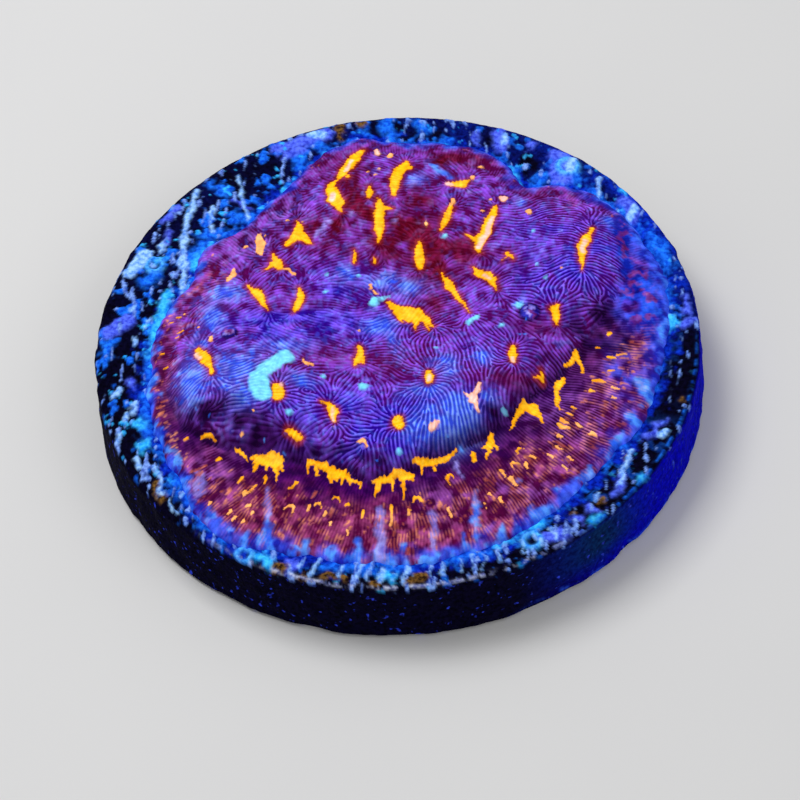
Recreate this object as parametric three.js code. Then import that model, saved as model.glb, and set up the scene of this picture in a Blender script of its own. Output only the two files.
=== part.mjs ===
// A leptoseris coral colony that has grown over the top of a round ceramic frag disc.
// Millimetres, +Z up. The origin is the centre of the disc's underside. The colony's steep
// front edge, with its row of corallites and the thin skirt below it, faces -Y.
import * as THREE from "three";
import { mergeVertices } from "three/addons/utils/BufferGeometryUtils.js";

// Disc: a cast puck whose wall leans in a little and whose top edge is worn round.
const DISC_DIAMETER = 50.8;
const DISC_THICKNESS = 6.35;
const DISC_WALL_LEAN = 0.3;
const DISC_TOP_ROUND = 0.8;
const DISC_FOOT_CHAMFER = 0.4;
const DISC_SECTORS = 84;
const DISC_ROUND_STEPS = 4;

// Colony heights, above the disc's top face.
const MARGIN_THICKNESS = 0.4; // the growing edge
const SKIRT_FOOT_HEIGHT = 1.15; // the skirt where it meets the foot of the mound
const SKIRT_SWELL = 0.2; // how far the skirt bulges between foot and edge
const SKIRT_CURVE = 1.4; // above 1 keeps the skirt high for longer before it runs out
const PLATEAU_HEIGHT = 2.3; // the middle of the mound
const PLATEAU_TILT = -0.045; // rise of the mound per millimetre towards the back

// How far in from its foot the mound's edge takes to roll over to the plateau. The change from
// front to back goes by the sine of the angle from +X.
const BROW_WIDTH_FRONT = 3.4;
const BROW_WIDTH_BACK = 7.5;
const BROW_FRONT_SINE = -0.3;
const BROW_BACK_SINE = 0.8;

// Swellings and hollows of the mound: centre, height and half-width.
const SWELLINGS = [
  { name: "left lobe", x: -12.0, y: -6.5, height: 1.5, spread: 4.6 },
  { name: "front lobe", x: 4.0, y: -9.5, height: 1.35, spread: 4.4 },
  { name: "right lobe", x: 15.5, y: 4.5, height: 1.1, spread: 3.6 },
  { name: "notch between the front lobes", x: -3.2, y: -14.0, height: -0.7, spread: 2.4 },
  { name: "hollow behind the front lobe", x: 2.5, y: 4.5, height: -0.45, spread: 4.5 },
  { name: "back lobe", x: -1.5, y: 15.0, height: 0.7, spread: 3.6 },
];

// Outline of the whole colony on the disc, counter-clockwise from the right, as x, y.
const MARGIN = [
  [22.9, 0.5], [22.3, 5.6], [20.6, 9.8], [18.2, 13.4], [15.0, 15.0], [12.4, 14.9],
  [11.4, 16.8], [9.6, 19.4], [6.0, 20.8], [2.0, 21.3], [-1.6, 22.3], [-4.0, 21.6],
  [-6.6, 19.3], [-9.4, 16.6], [-12.2, 13.4], [-15.6, 11.2], [-16.8, 8.0], [-19.0, 5.0],
  [-20.4, 1.0], [-20.7, -4.0], [-20.0, -8.6], [-18.4, -12.6], [-17.4, -16.0], [-14.6, -19.2],
  [-10.4, -20.6], [-5.4, -22.2], [-0.6, -22.9], [4.6, -22.1], [9.2, -20.3], [13.4, -17.2],
  [17.2, -13.4], [20.0, -9.6], [21.4, -5.0],
];

// Foot of the mound: the crease in front, and where the mound runs out at the sides and back.
const FOOT = [
  [17.2, -0.6], [19.2, 3.2], [19.8, 7.2], [18.2, 11.0], [14.4, 12.6], [10.6, 13.6],
  [8.6, 16.6], [4.4, 18.4], [0.4, 19.2], [-2.6, 19.6], [-5.2, 17.6], [-8.4, 13.8],
  [-12.6, 9.8], [-16.0, 5.4], [-18.2, 0.6], [-18.9, -4.0], [-17.6, -8.4], [-14.6, -10.7],
  [-11.4, -11.7], [-8.0, -12.8], [-5.2, -14.1], [-3.0, -15.3], [-0.6, -14.7], [2.2, -13.5],
  [5.4, -12.3], [8.0, -10.6], [9.8, -8.8], [12.4, -6.9], [15.0, -3.6],
];

// Corallites: centre, length, width, and the turn of their length from +X in degrees.
const CORALLITES = [
  // back of the mound
  { x: -2.6, y: 18.4, length: 3.8, width: 0.9, turn: 60 },
  { x: -4.3, y: 14.5, length: 3.2, width: 1.2, turn: 100 },
  { x: 1.5, y: 16.2, length: 3.8, width: 0.9, turn: 67 },
  { x: -1.3, y: 14.8, length: 1.2, width: 0.7, turn: 80 },
  { x: 6.5, y: 15.0, length: 2.0, width: 0.8, turn: 10 },
  { x: -0.5, y: 11.2, length: 4.6, width: 1.1, turn: 85 },
  { x: -7.6, y: 10.5, length: 2.2, width: 1.7, turn: 90 },
  { x: -10.8, y: 10.2, length: 1.9, width: 0.9, turn: 90 },
  // middle of the mound
  { x: -9.6, y: 7.3, length: 1.8, width: 1.1, turn: 150 },
  { x: -13.4, y: 7.2, length: 1.4, width: 0.6, turn: 55 },
  { x: 5.2, y: 11.2, length: 3.2, width: 0.8, turn: 72 },
  { x: 8.2, y: 9.0, length: 5.0, width: 1.1, turn: 65 },
  { x: -3.0, y: 7.3, length: 1.5, width: 0.5, turn: 95 },
  { x: -1.4, y: 6.5, length: 1.0, width: 0.5, turn: 90 },
  { x: 2.5, y: 7.0, length: 2.8, width: 0.9, turn: 88 },
  { x: -11.3, y: 4.0, length: 3.0, width: 0.9, turn: 123 },
  { x: -7.9, y: 3.4, length: 2.4, width: 0.9, turn: 80 },
  { x: 1.0, y: 0.6, length: 4.6, width: 1.3, turn: 140 },
  { x: 5.1, y: 2.9, length: 4.6, width: 0.8, turn: 115 },
  { x: 7.9, y: 4.0, length: 3.0, width: 1.1, turn: 122 },
  { x: 10.0, y: 6.0, length: 1.0, width: 0.5, turn: 130 },
  { x: 16.2, y: 5.8, length: 4.2, width: 0.9, turn: 75 },
  { x: 13.2, y: -1.0, length: 1.8, width: 0.7, turn: 100 },
  // front lobes
  { x: -16.2, y: -2.0, length: 2.6, width: 0.9, turn: 122 },
  { x: -3.2, y: -3.4, length: 1.9, width: 0.7, turn: 92 },
  { x: -10.1, y: -7.2, length: 1.4, width: 1.2, turn: 90 },
  { x: -5.8, y: -9.6, length: 1.9, width: 0.8, turn: 95 },
  { x: -0.5, y: -11.2, length: 1.2, width: 0.9, turn: 30 },
  { x: 2.3, y: -6.7, length: 1.5, width: 0.9, turn: 70 },
  { x: 5.6, y: -9.3, length: 1.7, width: 1.2, turn: 60 },
  { x: 9.2, y: -4.7, length: 1.7, width: 0.6, turn: 80 },
  { x: -9.0, y: -11.0, length: 1.6, width: 0.7, turn: 130 },
  // row in the crease at the foot of the front lobes
  { x: -15.6, y: -9.8, length: 1.6, width: 0.6, turn: 125 },
  { x: -11.3, y: -12.5, length: 2.8, width: 1.2, turn: 170 },
  { x: -6.0, y: -14.2, length: 4.6, width: 0.8, turn: 150 },
  { x: -1.4, y: -15.5, length: 3.2, width: 0.8, turn: 20 },
  { x: 2.2, y: -13.9, length: 3.6, width: 0.7, turn: 15 },
  { x: 6.7, y: -12.3, length: 2.0, width: 1.4, turn: 45 },
  { x: 9.9, y: -9.8, length: 2.4, width: 1.2, turn: 30 },
  { x: 12.8, y: -7.9, length: 3.2, width: 0.7, turn: 72 },
  { x: 14.6, y: -5.2, length: 1.8, width: 0.9, turn: 150 },
];
const CALICE_DEPTH = 0.34;
const CALICE_REACH = 0.45; // how far a calice opens past its polyp
const CALICE_RIM = 0.2;

// Shape of a calice, where 1 is the distance from its middle to its edge.
const PIT_SHARPNESS = 1.6;
const RIM_PLACE = 1.35;
const RIM_WIDTH = 0.4;

// Low walls where the ground of one corallite meets the next, in the same measure. They fade in
// from the rims outwards.
const COLLINE_HEIGHT = 0.2;
const COLLINE_WIDTH = 0.9;
const COLLINE_FROM = 1.4;
const COLLINE_FULL = 2.4;

// Mesh of the colony: hexagonal rings about the pole, one of which runs along the foot.
const RING_SIDES = 6;
const RINGS = 34;
const FOOT_RING = 25;
const RING_CROWDING = 1.35; // above 1 draws the rings of the mound towards its foot
const OUTLINE_SAMPLES = 720;

const DISC_MATERIAL = new THREE.MeshStandardMaterial({
  name: "disc_ceramic",
  color: new THREE.Color(0.03, 0.025, 0.06),
  roughness: 0.8,
  metalness: 0,
});
const CORAL_MATERIAL = new THREE.MeshStandardMaterial({
  name: "coral_tissue",
  color: new THREE.Color(0.28, 0.05, 0.38),
  roughness: 0.5,
  metalness: 0,
});

const { clamp, degToRad, lerp, smoothstep } = THREE.MathUtils;

// Radius of a closed outline about the pole, as a function of the angle in radians.
function radiusByAngle(points) {
  const curve = new THREE.CatmullRomCurve3(
    points.map(([x, y]) => new THREE.Vector3(x, y, 0)),
    true,
    "centripetal",
  );
  const samples = curve
    .getSpacedPoints(OUTLINE_SAMPLES)
    .map((p) => ({ angle: Math.atan2(p.y, p.x), radius: Math.hypot(p.x, p.y) }))
    .sort((a, b) => a.angle - b.angle);
  return (angle) => {
    const turn = Math.atan2(Math.sin(angle), Math.cos(angle));
    const found = samples.findIndex((s) => s.angle >= turn);
    const next = samples[Math.max(found, 0)];
    const last = samples.at(found > 0 ? found - 1 : -1);
    const span = (next.angle - last.angle + 2 * Math.PI) % (2 * Math.PI);
    const step = (turn - last.angle + 2 * Math.PI) % (2 * Math.PI);
    return span > 0 ? lerp(last.radius, next.radius, step / span) : next.radius;
  };
}

const marginRadius = radiusByAngle(MARGIN);
const footRadius = radiusByAngle(FOOT);

// Distance from a corallite's middle, where 1 is the edge of its calice.
function caliceDistance({ x, y, length, width, turn }, px, py) {
  const a = degToRad(turn);
  const along = (px - x) * Math.cos(a) + (py - y) * Math.sin(a);
  const across = (py - y) * Math.cos(a) - (px - x) * Math.sin(a);
  return Math.hypot(along / (length / 2 + CALICE_REACH), across / (width / 2 + CALICE_REACH));
}

// Pits of the calices, their raised rims, and the collines between them.
function coralliteRelief(px, py) {
  const distances = CORALLITES.map((c) => caliceDistance(c, px, py)).sort((a, b) => a - b);
  const [nearest, second] = distances;
  const pit = -CALICE_DEPTH * Math.exp(-PIT_SHARPNESS * nearest ** 2);
  const rim = CALICE_RIM * Math.exp(-(((nearest - RIM_PLACE) / RIM_WIDTH) ** 2));
  const away = smoothstep(nearest, COLLINE_FROM, COLLINE_FULL);
  const colline = COLLINE_HEIGHT * away * Math.exp(-(((second - nearest) / COLLINE_WIDTH) ** 2));
  return pit + rim + colline;
}

// Height of the mound's plateau, with its lobes and hollows.
function plateauHeight(px, py) {
  const swells = SWELLINGS.map(
    (s) => s.height * Math.exp(-((px - s.x) ** 2 + (py - s.y) ** 2) / (2 * s.spread ** 2)),
  );
  return swells.reduce((sum, s) => sum + s, PLATEAU_HEIGHT + PLATEAU_TILT * py);
}

// Height of the colony's upper surface above the disc's top face.
function colonyHeight(px, py) {
  const angle = Math.atan2(py, px);
  const radius = Math.hypot(px, py);
  const foot = footRadius(angle);
  if (radius > foot) {
    const out = clamp((radius - foot) / (marginRadius(angle) - foot), 0, 1);
    const slope = lerp(SKIRT_FOOT_HEIGHT, MARGIN_THICKNESS, out ** SKIRT_CURVE);
    return slope + SKIRT_SWELL * Math.sin(Math.PI * out) + (1 - out) * coralliteRelief(px, py);
  }
  const backness = smoothstep(Math.sin(angle), BROW_FRONT_SINE, BROW_BACK_SINE);
  const brow = lerp(BROW_WIDTH_FRONT, BROW_WIDTH_BACK, backness);
  const rolled = 1 - clamp((foot - radius) / brow, 0, 1);
  const roll = Math.sqrt(1 - rolled ** 2);
  const top = plateauHeight(px, py) + coralliteRelief(px, py);
  return lerp(SKIRT_FOOT_HEIGHT + (1 - roll) * coralliteRelief(px, py), top, roll);
}

// A point of the colony's hexagonal ring mesh: ring 0 is the pole, ring RINGS the margin.
function ringPoint(ring, step) {
  const angle = ring > 0 ? (2 * Math.PI * step) / (RING_SIDES * ring) : 0;
  const foot = footRadius(angle);
  const inside = foot * (1 - (1 - ring / FOOT_RING) ** RING_CROWDING);
  const outside = lerp(foot, marginRadius(angle), (ring - FOOT_RING) / (RINGS - FOOT_RING));
  const radius = ring <= FOOT_RING ? inside : outside;
  return [radius * Math.cos(angle), radius * Math.sin(angle)];
}

// The colony as one closed mesh: upper surface, edge wall, and a flat underside on the disc.
function colonyGeometry() {
  const places = [];
  const triangles = [];
  const firstOfRing = (ring) => (ring === 0 ? 0 : 1 + (RING_SIDES / 2) * ring * (ring - 1));
  const at = (ring, step) => firstOfRing(ring) + (ring === 0 ? 0 : step % (RING_SIDES * ring));

  for (let ring = 0; ring <= RINGS; ring++) {
    for (let step = 0; step < Math.max(1, RING_SIDES * ring); step++) {
      const [x, y] = ringPoint(ring, step);
      places.push(x, y, DISC_THICKNESS + colonyHeight(x, y));
    }
  }
  for (let ring = 0; ring < RINGS; ring++) {
    for (let side = 0; side < RING_SIDES; side++) {
      const inner = side * ring;
      const outer = side * (ring + 1);
      for (let i = 0; i <= ring; i++) {
        triangles.push(at(ring, inner + i), at(ring + 1, outer + i), at(ring + 1, outer + i + 1));
        if (i < ring) {
          triangles.push(at(ring, inner + i), at(ring + 1, outer + i + 1), at(ring, inner + i + 1));
        }
      }
    }
  }

  const edge = RING_SIDES * RINGS;
  const underside = places.length / 3;
  for (let step = 0; step < edge; step++) {
    const [x, y] = ringPoint(RINGS, step);
    places.push(x, y, DISC_THICKNESS);
  }
  const pole = places.length / 3;
  places.push(0, 0, DISC_THICKNESS);
  for (let step = 0; step < edge; step++) {
    const next = (step + 1) % edge;
    const [top, topNext] = [at(RINGS, step), at(RINGS, next)];
    triangles.push(top, underside + step, underside + next);
    triangles.push(top, underside + next, topNext);
    triangles.push(pole, underside + next, underside + step);
  }

  const geometry = new THREE.BufferGeometry();
  geometry.setAttribute("position", new THREE.Float32BufferAttribute(places, 3));
  geometry.setIndex(triangles);
  geometry.computeVertexNormals();
  return geometry;
}

// The disc, turned about Z from half of its section.
function discGeometry() {
  const foot = DISC_DIAMETER / 2;
  const shoulder = foot - DISC_WALL_LEAN;
  const section = new THREE.Path();
  section.moveTo(0, 0);
  section.lineTo(foot - DISC_FOOT_CHAMFER, 0);
  section.lineTo(foot, DISC_FOOT_CHAMFER);
  section.lineTo(shoulder, DISC_THICKNESS - DISC_TOP_ROUND);
  const round = new THREE.EllipseCurve(
    shoulder - DISC_TOP_ROUND,
    DISC_THICKNESS - DISC_TOP_ROUND,
    DISC_TOP_ROUND,
    DISC_TOP_ROUND,
    0,
    Math.PI / 2,
  );
  const outline = [
    ...section.getPoints(1),
    ...round.getPoints(DISC_ROUND_STEPS).slice(1),
    new THREE.Vector2(0, DISC_THICKNESS),
  ];
  const turned = new THREE.LatheGeometry(outline, DISC_SECTORS);
  turned.rotateX(Math.PI / 2); // the lathe turns about Y, and the disc stands along Z
  turned.deleteAttribute("normal");
  turned.deleteAttribute("uv");
  const closed = mergeVertices(turned, 1e-4);
  closed.computeVertexNormals();
  return closed;
}

const disc = new THREE.Mesh(discGeometry(), DISC_MATERIAL);
disc.name = "frag_disc";

const colony = new THREE.Mesh(colonyGeometry(), CORAL_MATERIAL);
colony.name = "coral_colony";

const leptoserisOnDisc = new THREE.Group();
leptoserisOnDisc.name = "leptoseris_on_disc";
leptoserisOnDisc.add(disc, colony);

export default leptoserisOnDisc;
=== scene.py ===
"""The looks of a leptoseris coral colony on a round ceramic frag disc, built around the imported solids.

Sizes and places are in millimetres in the part's frame, where the disc's underside is at z = 0, and they
become metres when a mesh is made. The colony keeps the solid's surface and gets its septa: fine ridges that
run from corallite to corallite over the mound and out across the skirt.
"""

import itertools
import math

import bpy
import numpy as np
from mathutils import Matrix, Vector
from mathutils.bvhtree import BVHTree
from mathutils.geometry import delaunay_2d_cdt


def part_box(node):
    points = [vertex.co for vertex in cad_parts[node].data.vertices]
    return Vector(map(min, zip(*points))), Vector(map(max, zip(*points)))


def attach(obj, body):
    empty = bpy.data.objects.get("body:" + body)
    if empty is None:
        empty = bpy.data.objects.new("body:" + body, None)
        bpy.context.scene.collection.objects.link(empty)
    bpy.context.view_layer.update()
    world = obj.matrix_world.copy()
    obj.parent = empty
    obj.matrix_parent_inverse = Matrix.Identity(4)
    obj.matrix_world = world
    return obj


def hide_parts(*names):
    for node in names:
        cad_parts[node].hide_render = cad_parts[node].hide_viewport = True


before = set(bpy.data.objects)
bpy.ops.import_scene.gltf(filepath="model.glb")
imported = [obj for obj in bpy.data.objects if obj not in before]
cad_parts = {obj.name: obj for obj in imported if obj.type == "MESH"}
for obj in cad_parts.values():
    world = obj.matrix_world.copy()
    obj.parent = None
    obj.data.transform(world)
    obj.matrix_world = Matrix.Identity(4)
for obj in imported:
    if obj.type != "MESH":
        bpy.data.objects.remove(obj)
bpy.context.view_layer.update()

MM = 0.001
DISC_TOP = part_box("frag_disc")[1].z / MM
DISC_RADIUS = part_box("frag_disc")[1].x / MM

# Camera, fitted to the disc's edges in the photograph.
CAMERA_ELEVATION = math.radians(52.47)
CAMERA_ROLL = math.radians(-5.08)
CAMERA_DISTANCE = 251.8
CAMERA_TARGET = (-0.19, -1.62, 0.0)
CAMERA_LENS = 135.0
CAMERA_SENSOR = 36.0
CAMERA_CLIP = 0.01

# Studio, in metres and watts: each light is a place, a size and a power.
FLOOR_HALF = 3.0
SKY_STRENGTH = 0.4
LIGHTS = {"key": ((-0.14, 0.12, 0.34), 0.2, 0.8), "fill": ((0.25, -0.2, 0.3), 0.25, 0.25)}

# Septa: the ridges of the colony's surface, drawn on a square grid.
GRID_HALF = 24.0
GRID_STEP = 0.0625
GRID_SIDE = round(2 * GRID_HALF / GRID_STEP)
GRID_END = 1.001  # places stop just short of the last point
MOUND_PERIOD = 0.335
SKIRT_PERIOD = 0.26
SEPTA_HEIGHT = 0.055
SEPTA_SPACING = 0.115  # least distance between vertices along a ridge
SEPTA_TURNS = 16
SEPTA_PASSES = 7
SEPTA_SEED = 5
SEPTA_BAND = 0.9  # spread of the ridges' frequency, per millimetre
SEPTA_STRAIGHTNESS = 0.7  # spread of the frequency along the ridges: less makes longer ridges
SEPTA_FLOOR = 0.1  # share of the mean wave below which a wave stays weak
SEAM_JUMP = 1.6  # a wave that changes more than this in one step has a seam there, not a ridge
OUTLINE_SPACING = 0.095  # least distance between vertices along a polyp's outline
OUTLINE_LEVELS = (-0.035, 0.035)  # a polyp's outline is drawn twice, this far in and out
OUTLINE_CLEAR = 0.09  # ridge vertices keep this far from the outline
SHARP_ANGLE = math.radians(32)

# Foot of the mound, where the skirt begins, as x, y.
FOOT = [
    (17.2, -0.6), (19.2, 3.2), (19.8, 7.2), (18.2, 11), (14.4, 12.6), (10.6, 13.6), (8.6, 16.6),
    (4.4, 18.4), (0.4, 19.2), (-2.6, 19.6), (-5.2, 17.6), (-8.4, 13.8), (-12.6, 9.8), (-16, 5.4),
    (-18.2, 0.6), (-18.9, -4), (-17.6, -8.4), (-14.6, -10.7), (-11.4, -11.7), (-8, -12.8), (-5.2, -14.1),
    (-3, -15.3), (-0.6, -14.7), (2.2, -13.5), (5.4, -12.3), (8, -10.6), (9.8, -8.8), (12.4, -6.9),
    (15, -3.6),
]
SKIRT_CENTRE = (0.0, -3.0)  # the skirt's septa and flecks point away from here


def limbs(*rows):
    """Limbs of tissue from flat rows: each limb is a run of x, y and half-width."""
    return [tuple(zip(row[::3], row[1::3], row[2::3])) for row in rows]


# Bright tissue. The septa run to the polyps.
POLYPS = limbs(
    (-12, 5.4, 0.1, -11.6, 4.8, 0.3, -11, 4, 0.38, -10.6, 2.9, 0.25, -10.3, 2.1, 0.06),
    (-7.7, 4.5, 0.15, -7.6, 3.7, 0.38, -7.8, 2.9, 0.36, -8.1, 2, 0.28, -8.3, 1.5, 0.05),
    (-16.2, -1.5, 0.2, -16, -2.2, 0.42, -15.6, -3.2, 0.4, -15.2, -4, 0.25, -15.1, -4.9, 0.2),
    (-0.6, 2.4, 0.1, 0, 1.8, 0.3, 0.9, 1.2, 0.55, 1.6, 0.7, 0.6, 2.4, 0.1, 0.45, 3.1, -1.2, 0.05),
    (4.1, 5.2, 0.05, 4.4, 4.4, 0.2, 4.8, 3.5, 0.36, 5.2, 2.6, 0.3, 5.6, 1.4, 0.14, 6.2, 0.2, 0.04),
    (-3.1, -2.8, 0.25, -3.1, -3.5, 0.3, -3.3, -4.2, 0.32, -3.5, -4.9, 0.1),
    (9.3, 11.9, 0.15, 8.9, 10.8, 0.4, 8.3, 9.4, 0.5, 7.7, 8.2, 0.5, 7.4, 7, 0.3, 7.6, 6.6, 0.08),
    (6.9, 5.2, 0.12, 7.2, 4.6, 0.4, 7.8, 4.2, 0.45, 8.3, 3.6, 0.35, 8.6, 2.6, 0.12, 8.6, 2.2, 0.04),
    (17.1, 8, 0.18, 16.8, 7.3, 0.15, 16.4, 6.7, 0.4, 16, 5.7, 0.45, 15.8, 4.6, 0.35, 15.7, 2.9, 0.06),
    (-1.6, 19.9, 0.3, -2.2, 19.2, 0.5, -2.7, 18.2, 0.5, -3.3, 17.2, 0.45, -3.9, 16.3, 0.1),
    (-3.9, 16.3, 0.1, -4.4, 15.6, 0.45, -4.3, 14.8, 0.55, -4.2, 14, 0.55, -3.8, 13.2, 0.4, -3.8, 12.4, 0.1),
    (-7.5, 12.3, 0.08, -7.4, 11.6, 0.25, -7.5, 10.8, 0.55),
    (-9.7, 8.7, 0.08, -9.6, 8.1, 0.25, -9.4, 7.6, 0.45, -9.1, 7.1, 0.3),
    (2.1, 18, 0.2, 1.9, 17.4, 0.4, 1.3, 16.6, 0.45, 1, 15.6, 0.42, 0.9, 14.6, 0.4, 0.8, 13.7, 0.2),
    (-1.2, 15, 0.12, -1.2, 14.3, 0.35, -1.3, 13.7, 0.2),
    (-0.4, 13.2, 0.2, -0.4, 12.6, 0.4, -0.5, 11.6, 0.45, -0.6, 10.6, 0.42, -0.7, 9.8, 0.25, -0.7, 8.9, 0.06),
    (5.6, 15, 0.2, 6.2, 15, 0.35, 6.8, 14.9, 0.4, 7.3, 15.2, 0.1),
    (5.6, 12.2, 0.2, 5.2, 11.5, 0.35, 5, 10.8, 0.3, 4.7, 10, 0.15, 4.5, 9.6, 0.06),
    (2.6, 8.6, 0.15, 2.5, 7.8, 0.35, 2.5, 7, 0.4, 2.5, 6.2, 0.3, 2.3, 5.8, 0.08),
    (13, -0.6, 0.35, 13.1, -1.4, 0.25, 13.1, -2.1, 0.15),
    (-9.85, -7, 0.4, -9.85, -7.6, 0.48, -9.9, -8.1, 0.4),
    (-5.9, -8.9, 0.3, -5.6, -9.6, 0.45, -5.5, -10.4, 0.2), (-0.5, -11.1, 0.42, -0.5, -11.5, 0.45),
    (2.3, -6.5, 0.2, 2.3, -7.2, 0.38, 2.2, -8, 0.25), (9.3, -4.2, 0.2, 9.2, -5, 0.32, 9.1, -5.9, 0.22),
    (-9.2, -10.9, 0.25, -8.6, -11.4, 0.32, -8.3, -11.6, 0.15),
)
LOBES = limbs(
    (0.2, 1.2, 0.35, 1.2, 0.2, 0.35), (0.5, 0.7, 0.3, 0.5, 0, 0.12), (1.7, 0.2, 0.3, 1.7, -1.4, 0.06),
    (2.4, -0.2, 0.2, 2.7, -1.6, 0.05), (-2.9, -4, 0.2, -2.9, -4.6, 0.1), (7.2, 8.4, 0.3, 6.5, 8.9, 0.06),
    (9.7, 6.2, 0.16, 9.9, 5.9, 0.15, 10.2, 5.4, 0.06), (9.7, 5.9, 0.08, 9.3, 5.3, 0.05),
    (12.6, -0.5, 0.12, 13, -0.6, 0.2, 13.3, -0.3, 0.15), (-2.9, 16.5, 0.2), (-4.7, 14.2, 0.3),
    (-7.8, 10.6, 0.45, -8.3, 10, 0.3, -8.5, 9.4, 0.15), (-7.2, 10.5, 0.45, -6.8, 9.8, 0.25, -6.4, 9.3, 0.1),
    (-9.9, 7.7, 0.25, -10.4, 7, 0.12), (-3, 8.2, 0.06, -2.8, 7.8, 0.14, -2.9, 7, 0.12),
    (-1.3, 7.3, 0.1, -1.3, 6.8, 0.16), (2.1, 17.2, 0.25, 2.4, 17.1, 0.2), (0, 12.4, 0.25, 0.6, 12.2, 0.06),
    (-0.9, 10.3, 0.2), (-0.5, 13.6, 0.08), (-6, -8.8, 0.2, -6.4, -8.6, 0.08),
    (11.4, -6.5, 0.08, 11.3, -7.2, 0.25, 10.8, -7.2, 0.08), (-15.2, -4.2, 0.2, -15.1, -4.9, 0.18),
)
CREASE = limbs(
    (-16.3, -9.7, 0.1, -15.8, -9.7, 0.14, -15.1, -10.3, 0.08),
    (-13.6, -11.2, 0.1, -13.2, -11.5, 0.16, -12.8, -11.9, 0.12),
    (-12.4, -11.8, 0.15, -11, -12, 0.25, -9.9, -12.4, 0.15), (-11.9, -12.2, 0.4, -10.4, -12.5, 0.48),
    (-12, -12.6, 0.22, -12.3, -13.4, 0.1), (-11.3, -12.8, 0.2, -11.2, -13.2, 0.12),
    (-10.5, -12.6, 0.28, -10.4, -14.5, 0.08), (-10.2, -12.6, 0.2, -10, -13.6, 0.1),
    (-11.3, -13.8, 0.12, -11.4, -14.6, 0.08),
    (-7.9, -13, 0.16, -7, -13.3, 0.2, -6, -13.8, 0.22, -5, -14.6, 0.18, -3.9, -15.5, 0.08),
    (-6.3, -14.2, 0.28, -5.2, -14.4, 0.3), (-7.9, -13.2, 0.15, -8, -13.9, 0.08),
    (-7.3, -13.4, 0.22, -7.2, -14.1, 0.12), (-6.2, -13.8, 0.22, -6.1, -15, 0.1),
    (-5.7, -14.2, 0.2, -5.7, -14.8, 0.1), (-5.2, -14.5, 0.18, -5.3, -15.2, 0.08),
    (-4.8, -14.6, 0.16, -4.8, -15.2, 0.08), (-3.9, -15.3, 0.12, -4, -15.8, 0.07),
    (-2.8, -15.4, 0.12, -1.8, -15.1, 0.18, -0.5, -14.8, 0.2, 0.2, -14.8, 0.12),
    (-2.2, -15.3, 0.26, -1.5, -15.2, 0.26), (-0.7, -15, 0.25, 0.1, -15.1, 0.25),
    (-2.4, -15.4, 0.16, -2.8, -16.9, 0.07), (-1.4, -15.3, 0.14, -1.4, -16.4, 0.07),
    (-0.5, -15.2, 0.15, -0.5, -16.2, 0.12, -0.7, -17.6, 0.06), (0.1, -15.2, 0.14, 0.2, -15.6, 0.08),
    (0.5, -14.1, 0.12, 1, -14, 0.26, 2.9, -13.75, 0.26, 3.9, -13.1, 0.06), (1.1, -14.1, 0.14, 1, -15, 0.08),
    (2, -14.3, 0.12, 2.1, -14.8, 0.14), (5.3, -13.4, 0.16, 5.3, -14.2, 0.2),
    (6.9, -11.8, 0.2, 6.5, -12.8, 0.42), (6.6, -12.4, 0.3, 6, -12.9, 0.16),
    (6.8, -12.2, 0.25, 7.2, -13.2, 0.12), (6.4, -12.8, 0.2, 6.35, -14.2, 0.07),
    (9.7, -9, 0.22, 9.2, -9.8, 0.27, 8.7, -10.7, 0.18, 8.4, -11.5, 0.06),
    (9.8, -9.1, 0.3, 10.4, -9.4, 0.45, 10.7, -10, 0.32, 11.1, -11, 0.08),
    (13.2, -6.6, 0.1, 12.7, -7.3, 0.28, 12.5, -8, 0.24, 12.4, -9, 0.2, 12.5, -10, 0.1),
    (14.5, -4.4, 0.2, 13.9, -5.2, 0.19, 13.4, -5.7, 0.13),
    (14.5, -4.6, 0.2, 14.8, -5.6, 0.17, 14.9, -6.5, 0.06),
)
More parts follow.
